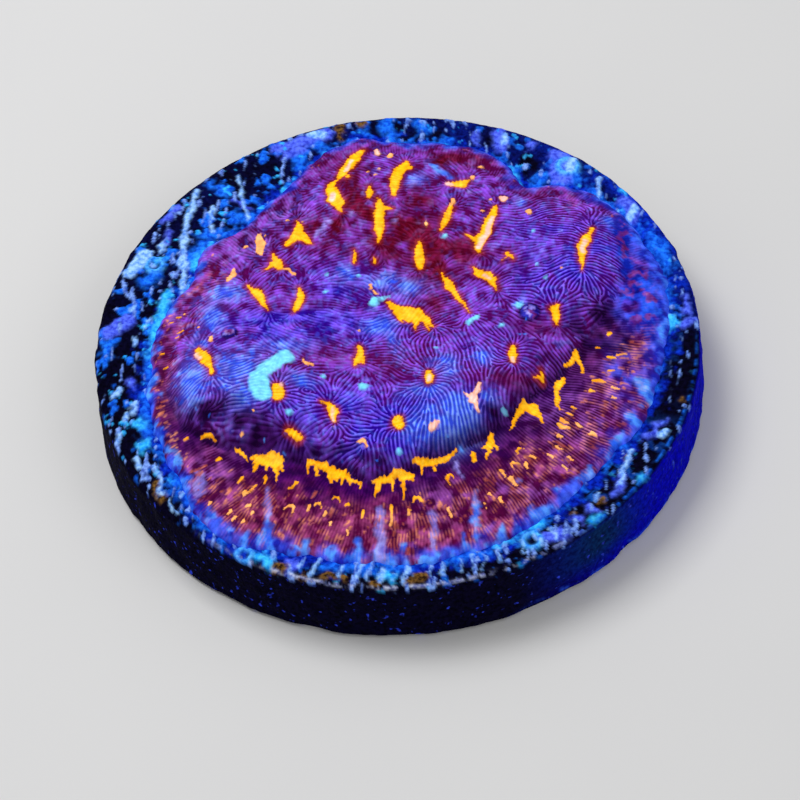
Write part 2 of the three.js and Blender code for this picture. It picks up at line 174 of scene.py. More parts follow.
# Flecks of tissue on the skirt, as x, y, length and half-width, and bent ones as x, y and size.
DROPS = [
    (-3.8, -18.2, 0.3, 0.22), (-1.6, -17.8, 1.8, 0.15), (3, -15.6, 0.9, 0.1), (2.8, -18.4, 0.8, 0.12),
    (5.7, -18.2, 0.6, 0.1), (6.2, -17.3, 0.2, 0.12), (-6.8, -17.8, 0.4, 0.12), (-6.5, -18.7, 0.3, 0.12),
    (-5.2, -19.6, 0.3, 0.12), (-0.4, -18.4, 0.3, 0.1), (-15.1, -11.8, 0.15, 0.22), (-13.2, -13.8, 0.5, 0.2),
    (-13, -15.1, 0.2, 0.2), (-12.2, -14.6, 0.8, 0.13), (-12.8, -16.2, 0.3, 0.12), (-12.5, -17, 0.2, 0.17),
    (-14.3, -16.7, 0.2, 0.14), (-15.9, -15.6, 0.2, 0.14), (-9, -14.8, 0.8, 0.12), (-13.9, -17.3, 0.3, 0.12),
    (-13.3, -17.7, 0.3, 0.12), (-8.1, -17.2, 0.3, 0.12), (15.5, -7.1, 1.1, 0.14), (17.1, -5, 0.3, 0.2),
    (17.6, -4.6, 0.9, 0.12), (16.1, -3.9, 0.3, 0.12), (17.3, -2.6, 0.3, 0.14), (15.2, -8.1, 0.3, 0.2),
    (17, -6.2, 0.3, 0.12), (17.1, -7.9, 0.4, 0.12), (16.9, -8.8, 0.3, 0.12), (13.9, -11.4, 0.3, 0.2),
    (12.3, -11.3, 0.8, 0.2), (12.2, -12.3, 0.3, 0.16), (14.7, -12.3, 0.5, 0.14), (9.2, -14.8, 0.5, 0.16),
    (7.3, -15.3, 0.6, 0.12), (11.9, -13.4, 0.4, 0.14), (11.2, -14, 0.4, 0.12), (12.7, -14.4, 0.4, 0.1),
    (9.8, -14.2, 0.4, 0.12), (8, -16, 0.8, 0.2), (12.2, -15.2, 0.4, 0.1), (13.6, -9.7, 0.3, 0.12),
    (13.2, -10.3, 0.3, 0.12), (12.6, -10.9, 0.5, 0.14), (7, -17.8, 0.4, 0.2), (-18.3, 2.8, 0.3, 0.1),
    (-17.8, 3.2, 0.3, 0.1), (-17.6, 1.3, 0.4, 0.1), (-18, 0.9, 0.3, 0.1), (-16.1, 1.2, 0.2, 0.12),
    (-18.9, -2, 0.3, 0.12), (-19.2, -0.5, 0.3, 0.1), (-17.5, -9.5, 0.3, 0.1),
]
HOOKS = [
    (-5.8, -16.5, 0.3), (-4.9, -17.2, 0.3), (0.4, -17.3, 0.4), (8.8, -13.4, 0.3), (8.3, -14.6, 0.3),
    (-7.3, -16.9, 0.3), (-9.5, -16.9, 0.35), (3.05, -15.4, 0.3),
]
# Bends of a bent fleck for a size of 1: out, aside, half-width.
HOOK_BENDS = [(1.2, -0.9, 0.18), (0.1, -0.5, 0.35), (0, 0.4, 0.38), (1.3, 1, 0.15)]
DROP_TAPER = 0.6
# Peach and pink tissue, and pale cores inside the bright polyps.
PEACH = limbs(
    (-7.7, -4.1, 0.08, -7.5, -4.7, 0.16, -7, -4.9, 0.08), (-15.2, -0.4, 0.15, -15.2, -0.9, 0.16),
    (-1.8, 4.3, 0.1, -1.8, 3.9, 0.16), (-1.5, 3.5, 0.1, -1.3, 3.1, 0.12), (-7, 12.1, 0.06),
    (-10.9, 11.2, 0.25, -10.7, 10.4, 0.38, -10.7, 9.4, 0.3, -10.7, 8.8, 0.1), (-10.3, 11.2, 0.1),
    (-8.8, 6.8, 0.1, -8, 6, 0.12), (-13, 7.6, 0.1, -13.2, 7.1, 0.3, -13.5, 6.4, 0.2),
    (5.8, 12.9, 0.22, 5.6, 12.4, 0.15), (7.6, 15.5, 0.2), (0.8, 19.1, 0.15, 0.8, 18.8, 0.3),
    (-3.8, -12.3, 0.1, -3.3, -12.3, 0.14, -3.1, -12.8, 0.06), (-1.3, 16.7, 0.12), (-0.6, 16.3, 0.1),
    (3.3, 10.5, 0.18), (8.9, 12.7, 0.12), (8.5, 16.8, 0.15), (8.2, 11.5, 0.15), (-8.4, 12.5, 0.12),
    (-12, 10, 0.15), (12, 10.9, 0.3), (-12, -9.3, 0.12), (-13, -10.6, 0.1), (14.1, 3.3, 0.12),
    (-17.4, 3.4, 0.1), (-3, -1, 0.14),
)
PINK = limbs(
    (5.6, -9.6, 0.5, 5.5, -9.9, 0.3), (5.6, -9.6, 0.3, 6.3, -8.5, 0.12), (5.6, -9.6, 0.3, 5.9, -10.7, 0.1),
    (5.6, -9.6, 0.3, 4.9, -9.3, 0.1), (2.1, -12.1, 0.28, 2.4, -12, 0.2, 2.8, -11.7, 0.07),
    (10.1, 12.8, 0.38), (-0.3, 19.8, 0.2, -0.2, 19.3, 0.2), (-5.6, -11, 0.08), (-0.2, 17, 0.12),
)
CORES = limbs(
    (9, 10.6, 0.2, 7.5, 7.4, 0.28), (7.6, 4.3, 0.14, 8.1, 3.8, 0.12), (16.3, 6.5, 0.2, 15.9, 5, 0.2),
    (-16.3, -2, 0.2, -16.2, -2.8, 0.15), (-2.4, 18.8, 0.15, -3, 17.4, 0.2),
    (-4.4, 14.8, 0.25, -4.4, 14.1, 0.25), (2.3, -6.9, 0.12, 2.2, -7.8, 0.2),
    (9.1, -5.4, 0.1, 9.1, -5.9, 0.2), (5.5, 15, 0.25, 5.8, 15, 0.2), (-5.7, -9.2, 0.1, -5.6, -10.4, 0.15),
    (-9.5, -6.8, 0.15),
)
# Cyan, lilac and blue markings. The cyan ones are painted highlights: a bright patch on the left lobe's
# crown and glints on the wet tissue.
CYAN_PATCH = limbs(
    (-9.2, -3.8, 0.65, -10.2, -4.6, 0.55, -11.2, -5.8, 0.75, -11.3, -7, 0.85, -11.1, -7.8, 0.7),
)
CYAN = limbs(
    (-1.65, 2.25, 0.48), (-1, 2.6, 0.12, -0.2, 2.9, 0.06), (-9.05, -9.6, 0.22), (-3, -7.3, 0.38),
    (-0.6, -13.6, 0.16), (6, -1.1, 0.2, 6.7, -0.6, 0.2), (-6.1, -6, 0.18), (10.2, 0.2, 0.3),
    (8.5, -1.7, 0.16), (4.8, 9, 0.2), (12.1, 8.1, 0.14), (12.6, 2.6, 0.13), (12, 4.2, 0.1),
    (-2.7, 5.4, 0.16), (-5.5, 3.7, 0.14), (3.1, -3.8, 0.12), (-5.4, 5.7, 0.12), (8, -10.2, 0.14),
)
LILAC = limbs(
    (-14.7, -3.2, 0.25), (-2.6, -18.2, 0.2, -2.7, -19.8, 0.4, -2.6, -22, 0.35),
    (1.6, -18.4, 0.1, 1.6, -19.5, 0.25, 1.4, -21.5, 0.2), (-11.2, -15, 0.1, -11.4, -17.5, 0.25),
    (3.7, -14.2, 0.06, 3.9, -15.2, 0.1), (4.3, -15.6, 0.08), (5.1, -16.9, 0.06, 5, -18, 0.1),
    (-6.1, 10.3, 0.08, -5.3, 11, 0.12, -5.2, 12, 0.08), (-5.2, 11.5, 0.08, -4.7, 11.5, 0.08),
    (-1.7, 14.2, 0.16), (0.8, 10.9, 0.22), (2.7, 10.6, 0.14), (-2.9, 12, 0.22), (7.3, 13.9, 0.18),
    (-16.6, -13, 0.3, -16.8, -14.5, 0.4), (14.3, 7.6, 0.05), (8.6, -16.2, 0.15),
)
STREAKS = limbs(
    (5, -18.2, 0.1, 4.9, -19.6, 0.2, 4.7, -21, 0.15), (6.9, -20.2, 0.05, 6.8, -21.4, 0.3),
    (-8.6, -20, 0.05, -8.8, -21.6, 0.3), (-11.3, -17.5, 0.15, -11.5, -19.5, 0.3),
    (3.9, -20.5, 0.05, 3.8, -22, 0.2), (-0.9, -21.3, 0.05, -1, -23, 0.2), (9.5, -19.2, 0.4, 10.5, -19, 0.4),
    (19.4, -7.5, 0.5, 20.3, -9.3, 0.3), (18.2, -10.8, 0.35), (16.5, -13, 0.3, 17, -12.5, 0.3),
    (4.3, 17.4, 0.15, 5, 16.4, 0.25, 6, 15.6, 0.15), (-2.7, -21.5, 0.3, -2.7, -23, 0.5), (4.3, -13, 0.22),
    (-13, -18.6, 0.1, -13.4, -19.5, 0.25), (-4.4, -20.6, 0.05, -4.5, -22.5, 0.25),
)
# Bubbles, drawn as a dome with a ring of painted shade and painted glints.
BUBBLES = [(-13.6, -0.3, 0.65), (11, -0.7, 0.85)]  # x, y, radius
FRINGE = 0.05  # how much further bright tissue reaches along a crest than along a furrow
STAMP_REACH = 1.0  # distances to a limb are drawn this far out

# Fine streaks of salmon strewn over the skirt, fewer and shorter at the back.
STREAK_COUNT = 360
STREAK_SEED = 11
STREAK_SPREAD = (1.8, 1.3)  # above 1 each: drawn away from the skirt's foot and from its edge
STREAK_FROM_FOOT = 2.0
STREAK_FROM_EDGE = 0.7
STREAK_BAND = 1.0  # least width of the band
STREAK_LEFT = 0.4
STREAK_BACK = 0.12
STREAK_LENGTH = 0.6
STREAK_LENGTHS = (1.2, 0.6)  # factors on the length at the foot and at the edge
STREAK_WIDTHS = (0.02, 0.08)
# Tiny pale dots strewn over the mound.
SPECK_COUNT = 110
SPECK_SEED = 12
SPECK_LEAST = 0.02
SPECK_MORE = 0.07

# Where the septa run when no polyp is near: x, y, angle from +X in degrees, reach.
FLOW = [
    (3, -12, 80, 3.5), (-1, -13, 95, 2), (-6, -12, 20, 2.5), (-12, -9.5, -20, 3.5), (2, -4, 110, 3),
    (7, -5, 105, 3), (10.5, -3, 120, 2.5), (12.5, 7.5, -8, 4), (2, 11, 0, 4), (6, 16, -35, 3),
    (-4, 9, 5, 4), (-10, 0, -30, 3), (-5, 1, -20, 4), (18, 6, 0, 1.8), (14, 10.5, -10, 3), (-13, -6, 50, 3),
    (15.5, -1.5, 20, 1.5),
]
FLOW_WEIGHT = 0.09
# Places that the septa run round: x, y, reach.
WHORLS = [(-7.6, -7.4, 1.8), (13.6, 1.2, 1.6)]
WHORL_WEIGHT = 0.1
HOLLOWS = limbs((16.8, 0, 0.1, 16.9, -0.5, 0.1))  # septa run down into these
DRAW_LEAST = 0.1  # how strongly a polyp draws the septa to it
DRAW_BY_LENGTH = 0.2
DRAW_NEAR = 0.35
DRAW_FALL = -1.5
DIRECTION_SIDE = 240

# Tints of the tissue, and of painted shade along the mound's front above the crease and in the hollow at the
# right:
# x, y, reaches along x and y, strength.
TINTS = {
    "crimson": [
        (1.5, 9, 4, 3, 1), (4.5, 7, 3.5, 2.5, 1), (-2, 13, 2.5, 3, 0.8), (3, 13, 2.5, 2.5, 0.5),
        (-5, 11, 3, 2, 0.6), (-4, 9, 3, 1.5, 0.5), (3.3, 4.6, 2, 1.5, 0.7), (3, 1.4, 1.5, 1.5, 0.7),
        (7, 18, 3.5, 1.2, 0.8), (11, -2.5, 3, 1.5, 0.6), (-8, 2, 3, 1.2, 0.6), (-6, -4, 3, 1.5, 0.4),
        (-3, 17, 2.5, 3, 0.6), (10.5, 4.5, 2.5, 1.5, 0.5), (8, 6.5, 2, 1, 0.6), (8.5, -7.8, 3, 1.2, 0.7),
        (13.5, 13, 2, 1.5, 0.4), (-1, -5, 2, 1.5, 0.3),
    ],
    "indigo": [
        (0, -11.5, 9, 3, 1), (-6, -9, 4, 3, 0.7), (-12, -9, 4, 2, 0.4), (14.5, 3, 5, 4.5, 0.7),
        (-9, 0, 6, 2.5, 0.8), (-2, 0, 3, 2.5, 0.7), (8, -4, 4, 3, 0.35), (17.5, 5.5, 3, 4, 0.6),
        (-15.5, -7, 2, 2, 0.3), (-4.5, 4.5, 3.5, 2.5, 0.6), (13.5, 8.5, 4, 3, 0.5),
    ],
    # Blue tissue, and painted highlights on the crowns of the front and left lobes.
    "azure": [
        (3.3, -11.6, 2.2, 1.4, 1), (4, -10.5, 1.8, 1, 1), (5.2, -11.4, 1.2, 0.7, 0.8),
        (-1.2, -0.5, 1.2, 0.8, 0.7), (-0.4, -2.2, 0.5, 1.3, 0.6), (0.1, -4.2, 0.4, 1, 0.5),
        (-0.8, 4.6, 1.4, 0.8, 0.7), (1.4, 3.6, 1.2, 0.8, 0.7), (-3.8, 5.5, 0.8, 1, 0.6),
        (3.9, -6.3, 0.9, 1.3, 0.8), (6.6, -5.6, 0.8, 0.8, 0.6), (-16.7, -4.6, 1.3, 2, 1.2),
        (-16.2, -1.2, 0.6, 1.6, 0.8), (-14, 4.6, 1.2, 1, 0.8), (-14.9, 2, 0.8, 1.4, 0.8),
        (2.8, 15.6, 0.9, 0.7, 0.6), (-13.2, -4.8, 1.8, 2, 0.8), (-16.6, -7.2, 1, 1, 0.6),
        (-12.8, -7.5, 1.4, 2, 0.5), (-8.3, -6.3, 1.2, 0.8, 0.5), (-9.5, -2.6, 2.5, 0.7, 0.5),
        (7.1, -9.6, 0.8, 1, 0.4), (2.2, -8.9, 1.5, 0.8, 0.5), (1, -12, 1.5, 1, 0.4),
        (10.2, 0.3, 0.5, 0.3, 0.9), (11.4, 12, 0.5, 0.5, 0.6), (13.4, 11.6, 0.4, 0.4, 0.5),
        (18.6, 9.3, 0.6, 0.8, 0.7),
    ],
    "deep": [
        (20.2, 2, 1.6, 4, 0.95), (19.6, 6.5, 1.2, 3, 0.7), (20.6, -3, 0.8, 2, 0.5),
        (18.3, -7.2, 1.8, 2.5, 0.35),
    ],
    "shade": [
        (16.6, -0.7, 1.9, 1.4, 1), (15.6, -2.8, 1.7, 1.5, 0.8), (-16, -8.3, 2.5, 0.9, 1),
        (-12.5, -9.8, 2, 0.8, 0.8), (-9, -12.1, 1.8, 0.7, 0.7), (7.5, -10.6, 1.5, 0.8, 0.6),
        (12, -5.5, 1.5, 0.8, 0.5), (-3, -14.1, 1.6, 0.8, 0.9), (-11, -11, 2.5, 0.9, 0.9),
        (-6.5, -12.6, 2.2, 0.7, 0.8), (14.8, -4.6, 1.5, 1.3, 0.6), (18.4, -3.8, 1.6, 1.8, 0.6),
        (11.8, -11.6, 1.8, 1.5, 0.35),
    ],
    "rosy": [
        (-16, -12.5, 2.2, 2.5, 1), (-1, -19.6, 8, 2, 0.6), (12, -14, 4, 3, 0.6), (17, -8, 3, 4, 0.35),
        (-18.4, -2.5, 0.9, 4.5, 1), (-15.6, 5.6, 1.5, 1.3, 0.9), (-14.2, 7.6, 1.2, 1.2, 0.8),
        (-12, -17, 4, 2, 0.6), (15.5, 11.8, 1.2, 1.5, 0.5), (-17.4, 2.4, 1.4, 2.2, 1), (8, 17, 2, 1.5, 0.3),
    ],
    "violet": [
        (-12, 10.5, 2, 2, 0.7), (-8.5, 13.5, 1.5, 1.8, 0.7), (14, -11, 4, 4, 0.6), (17.5, -6, 2.5, 4, 0.6),
        (-15.8, -13.2, 2, 2.5, 0.5), (3, -18, 2.5, 2, 0.4), (9.5, -17.2, 3, 2, 0.5),
    ],
}
TINT_GAIN = 1.3
TINT_BLOTCH = 0.8
# Where the septa's lines stand out: x, y, reaches along x and y, strength. Elsewhere they are faint.
LUSTRE = [
    (17.5, 5, 3, 5, 1), (13.5, 1.5, 4, 2.5, 1), (2, -11, 6, 3, 0.9), (-4, -12, 3, 2, 0.7),
    (6, -6, 4, 4, 0.8), (14, -10, 4, 5, 0.8), (-12, -7, 4, 3, 0.6), (-7.5, -7.5, 3, 2.5, 0.65),
    (14, 9.5, 3, 3, 0.7), (2, -3, 4, 3, 0.5),
]
FAINT_LUSTRE = 0.3
LEAST_LUSTRE = 0.05
SKIRT_LUSTRE = 0.6
LUSTRE_LOSS = 0.8  # where blue tissue covers the lines

# Markings: the map of distances that each is drawn from, how far fine noise moves its outline, the distances
# at which it is 0 and full, and its full strength if that isn't 1.
MARKS = {
    "speck": ("speck", 0, 0.06, -0.05, 0.9), "streak": ("streak", 0.2, 0.3, -0.15, 0.8),
    # The patch and cyan marks are painted highlights.
    "lilac": ("lilac", 0.15, 0.22, -0.15, 0.75), "patch": ("patch", 0.12, 0.2, -0.12, 0.95),
    "cyan": ("cyan", 0, 0.07, -0.07), "salmon": ("salmon", 0, 0.08, -0.03, 0.85),
    # The halo round the polyps is painted glow.
    "polyp_glow_and_rust": ("polyp", 0, 0.42, 0, 0.8), "orange": ("bright", 0, 0.04, -0.04),
    "gold": ("bright", 0, 0, -0.14), "peach": ("peach", 0, 0.05, -0.05),
    "pink": ("pink", 0, 0.08, -0.12, 0.9),
}
# How the kinds of tissue mix with painted sheen, painted shade and painted glints.
SKIRT_AT_BACK = 0.35
GLOW_AT_BACK = 0.4
SHEEN_FINE = 0.3
SHEEN_OFF_CRIMSON = 0.8
SHEEN_ALONE = 0.32
AZURE_PLAIN = 0.8
AZURE_SHEEN = 0.5
ROSY_PLAIN = 0.65
ROSY_FINE = 0.9
BELOW_CREASE_SHADE_OFF_ROSY = 0.8
BELOW_CREASE_SHADE_BLOTCH = 0.9
CREASE_SHADE = 0.85
CREASE_SHADE_END = 0.3
GLINT_REACH = 0.65  # share of a bubble's radius
# Relief of the colony.
SKIRT_RELIEF = 0.6
FAINT_RELIEF = 0.5
GOLD_RELIEF = 0.6
CYAN_SMOOTH = 0.9
ORANGE_RISE = 0.06
CYAN_RISE = 0.05
BUBBLE_RISE = 0.3

# Edge of the colony.
EDGE_SPACING = 0.12
EDGE_RING = 22  # radius at which the waver is read
EDGE_MEAN = 21  # radius that the number of the edge's vertices is reckoned from
EDGE_ROUND = 0.5  # width over which the edge rounds down to the disc
EDGE_LIP = 0.08  # height of the edge itself
OUTLINE_FROM_EDGE = 2 * EDGE_SPACING
RIDGE_FROM_EDGE = 0.7 * EDGE_SPACING
COLONY_SINK = 0.12  # how far the underside goes into the disc's crust

# Form of the colony, read from its solid.
HEIGHT_SIDE = 320
HEIGHT_BLUR = 0.3
HEIGHT_LEAST_SHARE = 0.05
RAY_START = 1.0  # in metres
UNDERSIDE_SLACK = 0.01
UNDERSIDE_HUB = 5.0  # the underside's edge lies outside this radius

# Disc.
DISC_SECTORS = 1080
DISC_INNER = 17.4
DISC_ROW = 0.145
DISC_ROUND = 0.8
DISC_LEAN = 0.3
DISC_CHAMFER = 0.4
DISC_BEND_ROWS = 8
DISC_WALL_ROWS = 15
DISC_SINK = 0.1  # the ground of the top lies this far below the solid, and the crust comes up to it
CRUST_LIFT = 0.14
DRAG_LIFT = 0.1
COIL_LIFT = 0.25
WEAR_TURN = 25  # radius at which the wear of the wall is read
CHIP_DEPTH = 0.5
CHIPS = [(-69, 0.05), (-63, 0.04), (-48, 0.03), (-110, 0.03)]  # in the lower edge: degrees, width in radians
# Worm coils: degrees, radius, size.
WORM_COILS = [(153, 22.3, 0.9), (236.5, 24.4, 0.8), (293, 23.3, 0.9), (47, 23.4, 1.1)]
DRAG_LEAN = 0.11  # drift of the disc's drag marks in x for each millimetre of y
DRAG_STRETCH = 0.2
# Crust on the disc's top: bars between two places, each an angle in degrees and a radius, and a half-width.
CRUSTS = {
    "azure": [
        (21, 23.7, 13, 23.9, 0.5), (30, 23.2, 27, 22.6, 0.5), (38, 22.5, 34, 21.6, 0.45),
        (44, 23, 46, 21.5, 0.6), (50, 21.5, 49, 20, 0.5), (75, 22.5, 72.5, 20.2, 0.3),
        (79, 21, 76, 19.8, 0.55), (81.5, 24.3, 80, 23.2, 0.45), (88, 24.3, 87, 19.8, 0.4),
        (93, 23.6, 93, 22.9, 0.3), (109, 22.2, 110, 21, 0.35), (107, 20.5, 107, 19.8, 0.3),
        (104, 23.5, 102.5, 22.5, 0.4), (128, 23.8, 127.5, 22, 0.3), (131, 19.8, 128.5, 18.6, 0.5),
        (140, 20.2, 136, 18.8, 0.5), (149, 20, 143, 19.5, 0.6), (158, 22.3, 155, 21.8, 0.5),
        (178, 24, 175, 24, 0.35), (200, 22.2, 190, 21.4, 0.35), (184, 20.4, 181, 20.3, 0.5),
        (225, 23.4, 214, 22.7, 0.35), (345, 21.9, 322, 21.7, 0.2), (268, 23.1, 252, 23.3, 0.3),
        (8, 22.6, 2, 22.4, 0.4), (285, 22.9, 277, 22.9, 0.25),
    ],
    "cyan": [
        (178, 20.2, 161, 20.1, 0.45), (167, 18.4, 157, 18.2, 0.5), (150, 19.1, 143, 18.9, 0.45),
        (116, 19.4, 117.5, 18.4, 0.3), (102.5, 21.5, 102, 20, 0.3), (197, 22.1, 196.5, 22.5, 0.35),
        (203, 23.2, 202.5, 22.9, 0.4), (57.5, 20.6, 53.5, 19.2, 0.25), (36, 22.2, 35, 21.8, 0.3),
        (34.5, 24.5, 33.5, 24.5, 0.2), (297, 22.1, 291, 21.9, 0.35), (289, 22.6, 286.5, 22.2, 0.3),
        (358, 22.7, 356.5, 22.4, 0.5), (307, 24.5, 305, 24.4, 0.2), (319, 24.5, 318, 24.5, 0.2),
        (242, 24.2, 239, 24, 0.35), (265, 23.8, 264, 23.6, 0.4), (152, 22.7, 151, 22.2, 0.25),
    ],
    "lilac": [
        (4, 24.3, 0, 24.2, 0.3), (32, 23.9, 27, 23.3, 0.55), (50, 24, 46, 22, 0.9),
        (57, 24, 57, 23.7, 0.35), (64.5, 24, 62.5, 22.6, 0.55), (69, 23.6, 67.5, 22.4, 0.2),
        (112, 23.9, 101, 23.9, 0.65), (110, 23, 107, 23, 0.5), (99, 21.5, 95, 21.6, 0.5),
        (172, 24, 169, 22.8, 0.7), (141, 24.2, 137, 24.1, 0.3), (146, 22.7, 143, 23.2, 0.25),
        (299, 24, 296, 23.6, 0.5), (246, 24.2, 245, 23.8, 0.35), (332, 23.5, 331, 23.2, 0.35),
        (328.5, 23.2, 327.5, 22.9, 0.3), (316, 23.2, 313, 23.8, 0.3), (307.5, 23.9, 306.5, 23.4, 0.35),
        (303.5, 23.8, 302.5, 23.4, 0.3), (358, 24.3, 357, 23.8, 0.35), (187, 22.4, 185, 22.2, 0.3),
        (128, 21.2, 126, 19.6, 0.2),
    ],
    "pale": [
        (131.5, 24.3, 140, 22.3, 0.2), (140, 22.3, 150, 20.2, 0.24), (150, 20.2, 157, 19, 0.28),
        (157, 19, 168, 18.6, 0.2), (133, 21.8, 138, 19.9, 0.12), (122.5, 23, 129, 18.6, 0.12),
        (156, 24, 151, 23.6, 0.6), (166, 22.6, 165, 22.4, 0.2), (148.5, 22.6, 147, 22.8, 0.25),
        (47, 24, 46, 23, 0.4), (29, 24, 27.5, 23, 0.35), (63, 24, 62.5, 23, 0.25),
        (104, 24.2, 102, 23.7, 0.4), (329.5, 23.9, 328.5, 23.7, 0.3), (322, 22.4, 318, 22.8, 0.14),
        (317, 23, 314, 23.6, 0.14), (310, 22.9, 309, 23.2, 0.14), (215, 24.2, 208, 22.9, 0.12),
        (194, 22.7, 191.5, 22.3, 0.18), (188.5, 23.8, 187, 23.3, 0.22), (207, 24.2, 204.5, 23.9, 0.18),
        (199, 24.4, 197.5, 24.1, 0.14), (195, 23.5, 193.5, 23.1, 0.14), (176, 22, 173.5, 21.9, 0.12),
        (170, 21, 168, 20.8, 0.12), (220, 24.4, 217, 24, 0.1), (40, 24, 35.5, 22.4, 0.12),
    ],
    "brown": [
        (271, 24, 268.5, 24.1, 0.35), (262.5, 24.4, 261.5, 24.4, 0.2), (256, 24.2, 252.5, 24.1, 0.3),
        (249.5, 24.4, 248.5, 24.4, 0.15), (244.5, 24.3, 243, 24.2, 0.28), (98, 24.4, 98, 23, 0.25),
        (94, 24.3, 93, 24.3, 0.25), (310.5, 23.5, 309, 23.6, 0.2), (303.5, 23, 303, 22.9, 0.2),
        (320.5, 22.4, 319, 22.5, 0.15), (338, 24.2, 339, 24.2, 0.15), (216, 24.4, 212, 24, 0.2),
    ],
}
CRUST_SOFTNESS = {"azure": 0.5, "cyan": 0.35, "lilac": 0.3, "pale": 0.16, "brown": 0.2, "bar": 0.12}
CRUST_RAGGED = 0.25
CRUST_WAVER = 0.6
# Pale bars that run from the colony's edge out to the rim at the front: degrees and half-width.
FRONT_BARS = [
    (298, 0.1), (294.5, 0.16), (291.5, 0.1), (286, 0.12), (283, 0.07), (280.5, 0.1), (278.5, 0.06),
    (275, 0.14), (272.5, 0.12), (268, 0.16), (263.5, 0.2), (261, 0.1), (259, 0.14), (255.5, 0.1),
    (250.5, 0.14), (247.5, 0.08),
]
BAR_INNER = 22.9
BAR_OUTER = 24.1
BAR_TURN = -0.6
BAR_STRENGTH = 0.8
HALO_ROUGH = 0.9
BLOBS_FINE = 0.8
RIM_ROUGH = 0.5
WALL_LIGHT_TURN = 0.35

# Values against the angle from +X in degrees: the width of the colony's blue growing edge, and the strength
# of the disc's deep blue glow, strewn blobs of crust, painted pale highlight on the rim, painted blue glint
# on it and painted highlight along the wall's lower edge.
AROUND = {
    "margin": (range(-180, 181, 30), (0.5, 0.8, 1, 1.1, 1, 1.4, 2, 1.4, 1.2, 1, 0.9, 0.7, 0.5)),
    "glow": (
        (0, 15, 40, 60, 90, 120, 150, 180, 352, 360),
        (0.4, 0.6, 0.7, 0.25, 0.12, 0.05, 0.03, 0, 0, 0.4),
    ),
    "blobs": (
        (0, 60, 120, 180, 225, 270, 320, 335, 355, 360),
        (0.5, 0.6, 0.9, 0.9, 0.4, 0.5, 0.3, 0, 0.1, 0.5),
    ),
    "rim": ((225, 245, 290, 305), (0, 0.9, 0.9, 0)),
    "glint": ((290, 305, 345, 358), (0, 0.8, 0.6, 0)),
    "wall edge highlight": ((285, 300, 345, 360), (0, 1, 1, 0)),
}
# Fades: the values at which a share is 0 and at which it is full, and its full strength if that isn't 1.
FADES = {
    "skirt": (-0.4, 0.4), "off polyps": (0.2, 1.5), "streak front": (0.35, -0.3),
    "streak length": (0.1, -0.4), "front": (0.35, -0.25), "low": (-0.15, -0.5), "grain_and_sheen": (0.15, 0.6),
    "grown": (1.5, 5, 0.7), "dusk in": (-0.3, 0.2), "dusk out": (4.4, 1.2), "margin": (1.4, 0.2, 0.9),
    "gaps": (0.2, -0.9), "mottle": (0, 0.5, 0.9), "glow": (0.1, 0.6, 0.8), "glow edge": (1.1, 0.3),
    "bubble": (1, 0.8, 0.8), "sparkle": (0, 0.3), "crest": (-0.2, 1, 0.5), "lit": (0.05, 0.6),
    "lit out": (1.6, 4.2), "rust": (0.2, 0.6, 0.5), "rust deep": (0.3, 0.9), "outer": (2.5, 5, 0.9),
    "line": (-0.7, 1), "ridge edge": (0, 1.2), "top": (-0.6, -0.2), "lifted top": (-0.5, -0.1),
    "halo": (1, 0.1, 0.8), "near edge": (1, 0.2, 0.7), "rough": (-0.1, 0.5), "strewn": (0, 0.3),
    "azure blobs": (0.55, 0.85), "cyan blobs": (0.85, 1.1), "drag left": (0.2, 0.8, 0.16),
    "drag front": (0.6, 0.95, 0.1), "drag": (0.7, 0.95), "rim": (-0.5, 0.3), "painted wall light": (0.6, 0.98),
    "above foot": (0, 0.4), "teal": (0.5, 3.5), "wall edge highlight": (-0.2, 0.4, 0.7), "inner": (0, 0.8),
    "chip": (2, 0.2), "free": (0, 0.6),
}
# Soft lines: the value at the middle and the width.
LINES = {
    "crease": (0, 0.85), "bubble": (0.9, 0.26), "rim": (DISC_RADIUS - 0.72, 0.12), "teal": (-0.95, 0.16),
    "wall edge highlight": (0.45, 0.2), "coil": (0.75, 0.25),
}
# Noises: size, seed, octaves, and the swing about a middle if they aren't 1 and 0.
NOISES = {
    "wide wander": (2.2, 20, 2, 0.36), "small wander": (0.9, 25, 2, 0.3), "skirt wander": (1.4, 30, 2, 0.5),
    "edge": (1.6, 40, 3, 0.3, -0.15), "ragged x": (0.6, 60, 2, 0.13), "ragged y": (0.6, 64, 2, 0.13),
    "blotch": (1.3, 70, 3), "fine": (0.5, 74, 2), "grain_and_sheen": (0.24, 78, 1), "margin": (1, 80, 3, 0.6),
    "lit": (0.7, 82, 2), "glow": (0.8, 84, 3), "gaps": (1.7, 86, 3), "sparkle": (0.24, 88, 1),
    "beads": (0.25, 90, 1, 0.4, 1), "ground": (0.9, 95, 3, 0.04), "lustre": (0.9, 100, 2, 0.4, 1),
    "line": (0.3, 104, 1, 0.3, 0.95), "pattern": (0.7, 106, 3, 0.45, 0.59), "rough": (0.9, 120, 3),
    "crust": (0.4, 124, 2), "disc glow": (2.2, 130, 3, 0.9, 0.7), "dashes": (0.34, 140, 1),
    "dash grit": (0.4, 144, 1, 0.5), "azure blobs": (1.1, 150, 3), "cyan blobs": (0.8, 154, 3),
    "wall edge highlight": (3, 160, 3), "grit": (0.6, 200, 3, 0.06), "wear": (1.4, 210, 3, 0.1, -0.06),
}
NOISE_LATTICE = 256
NOISE_TURN = 0.7
FAR = 9.0  # a distance past the reach of any marking
TINY = 1e-9  # lengths and areas below this count as none
MERGE = 1e-7  # vertices nearer than this count as one

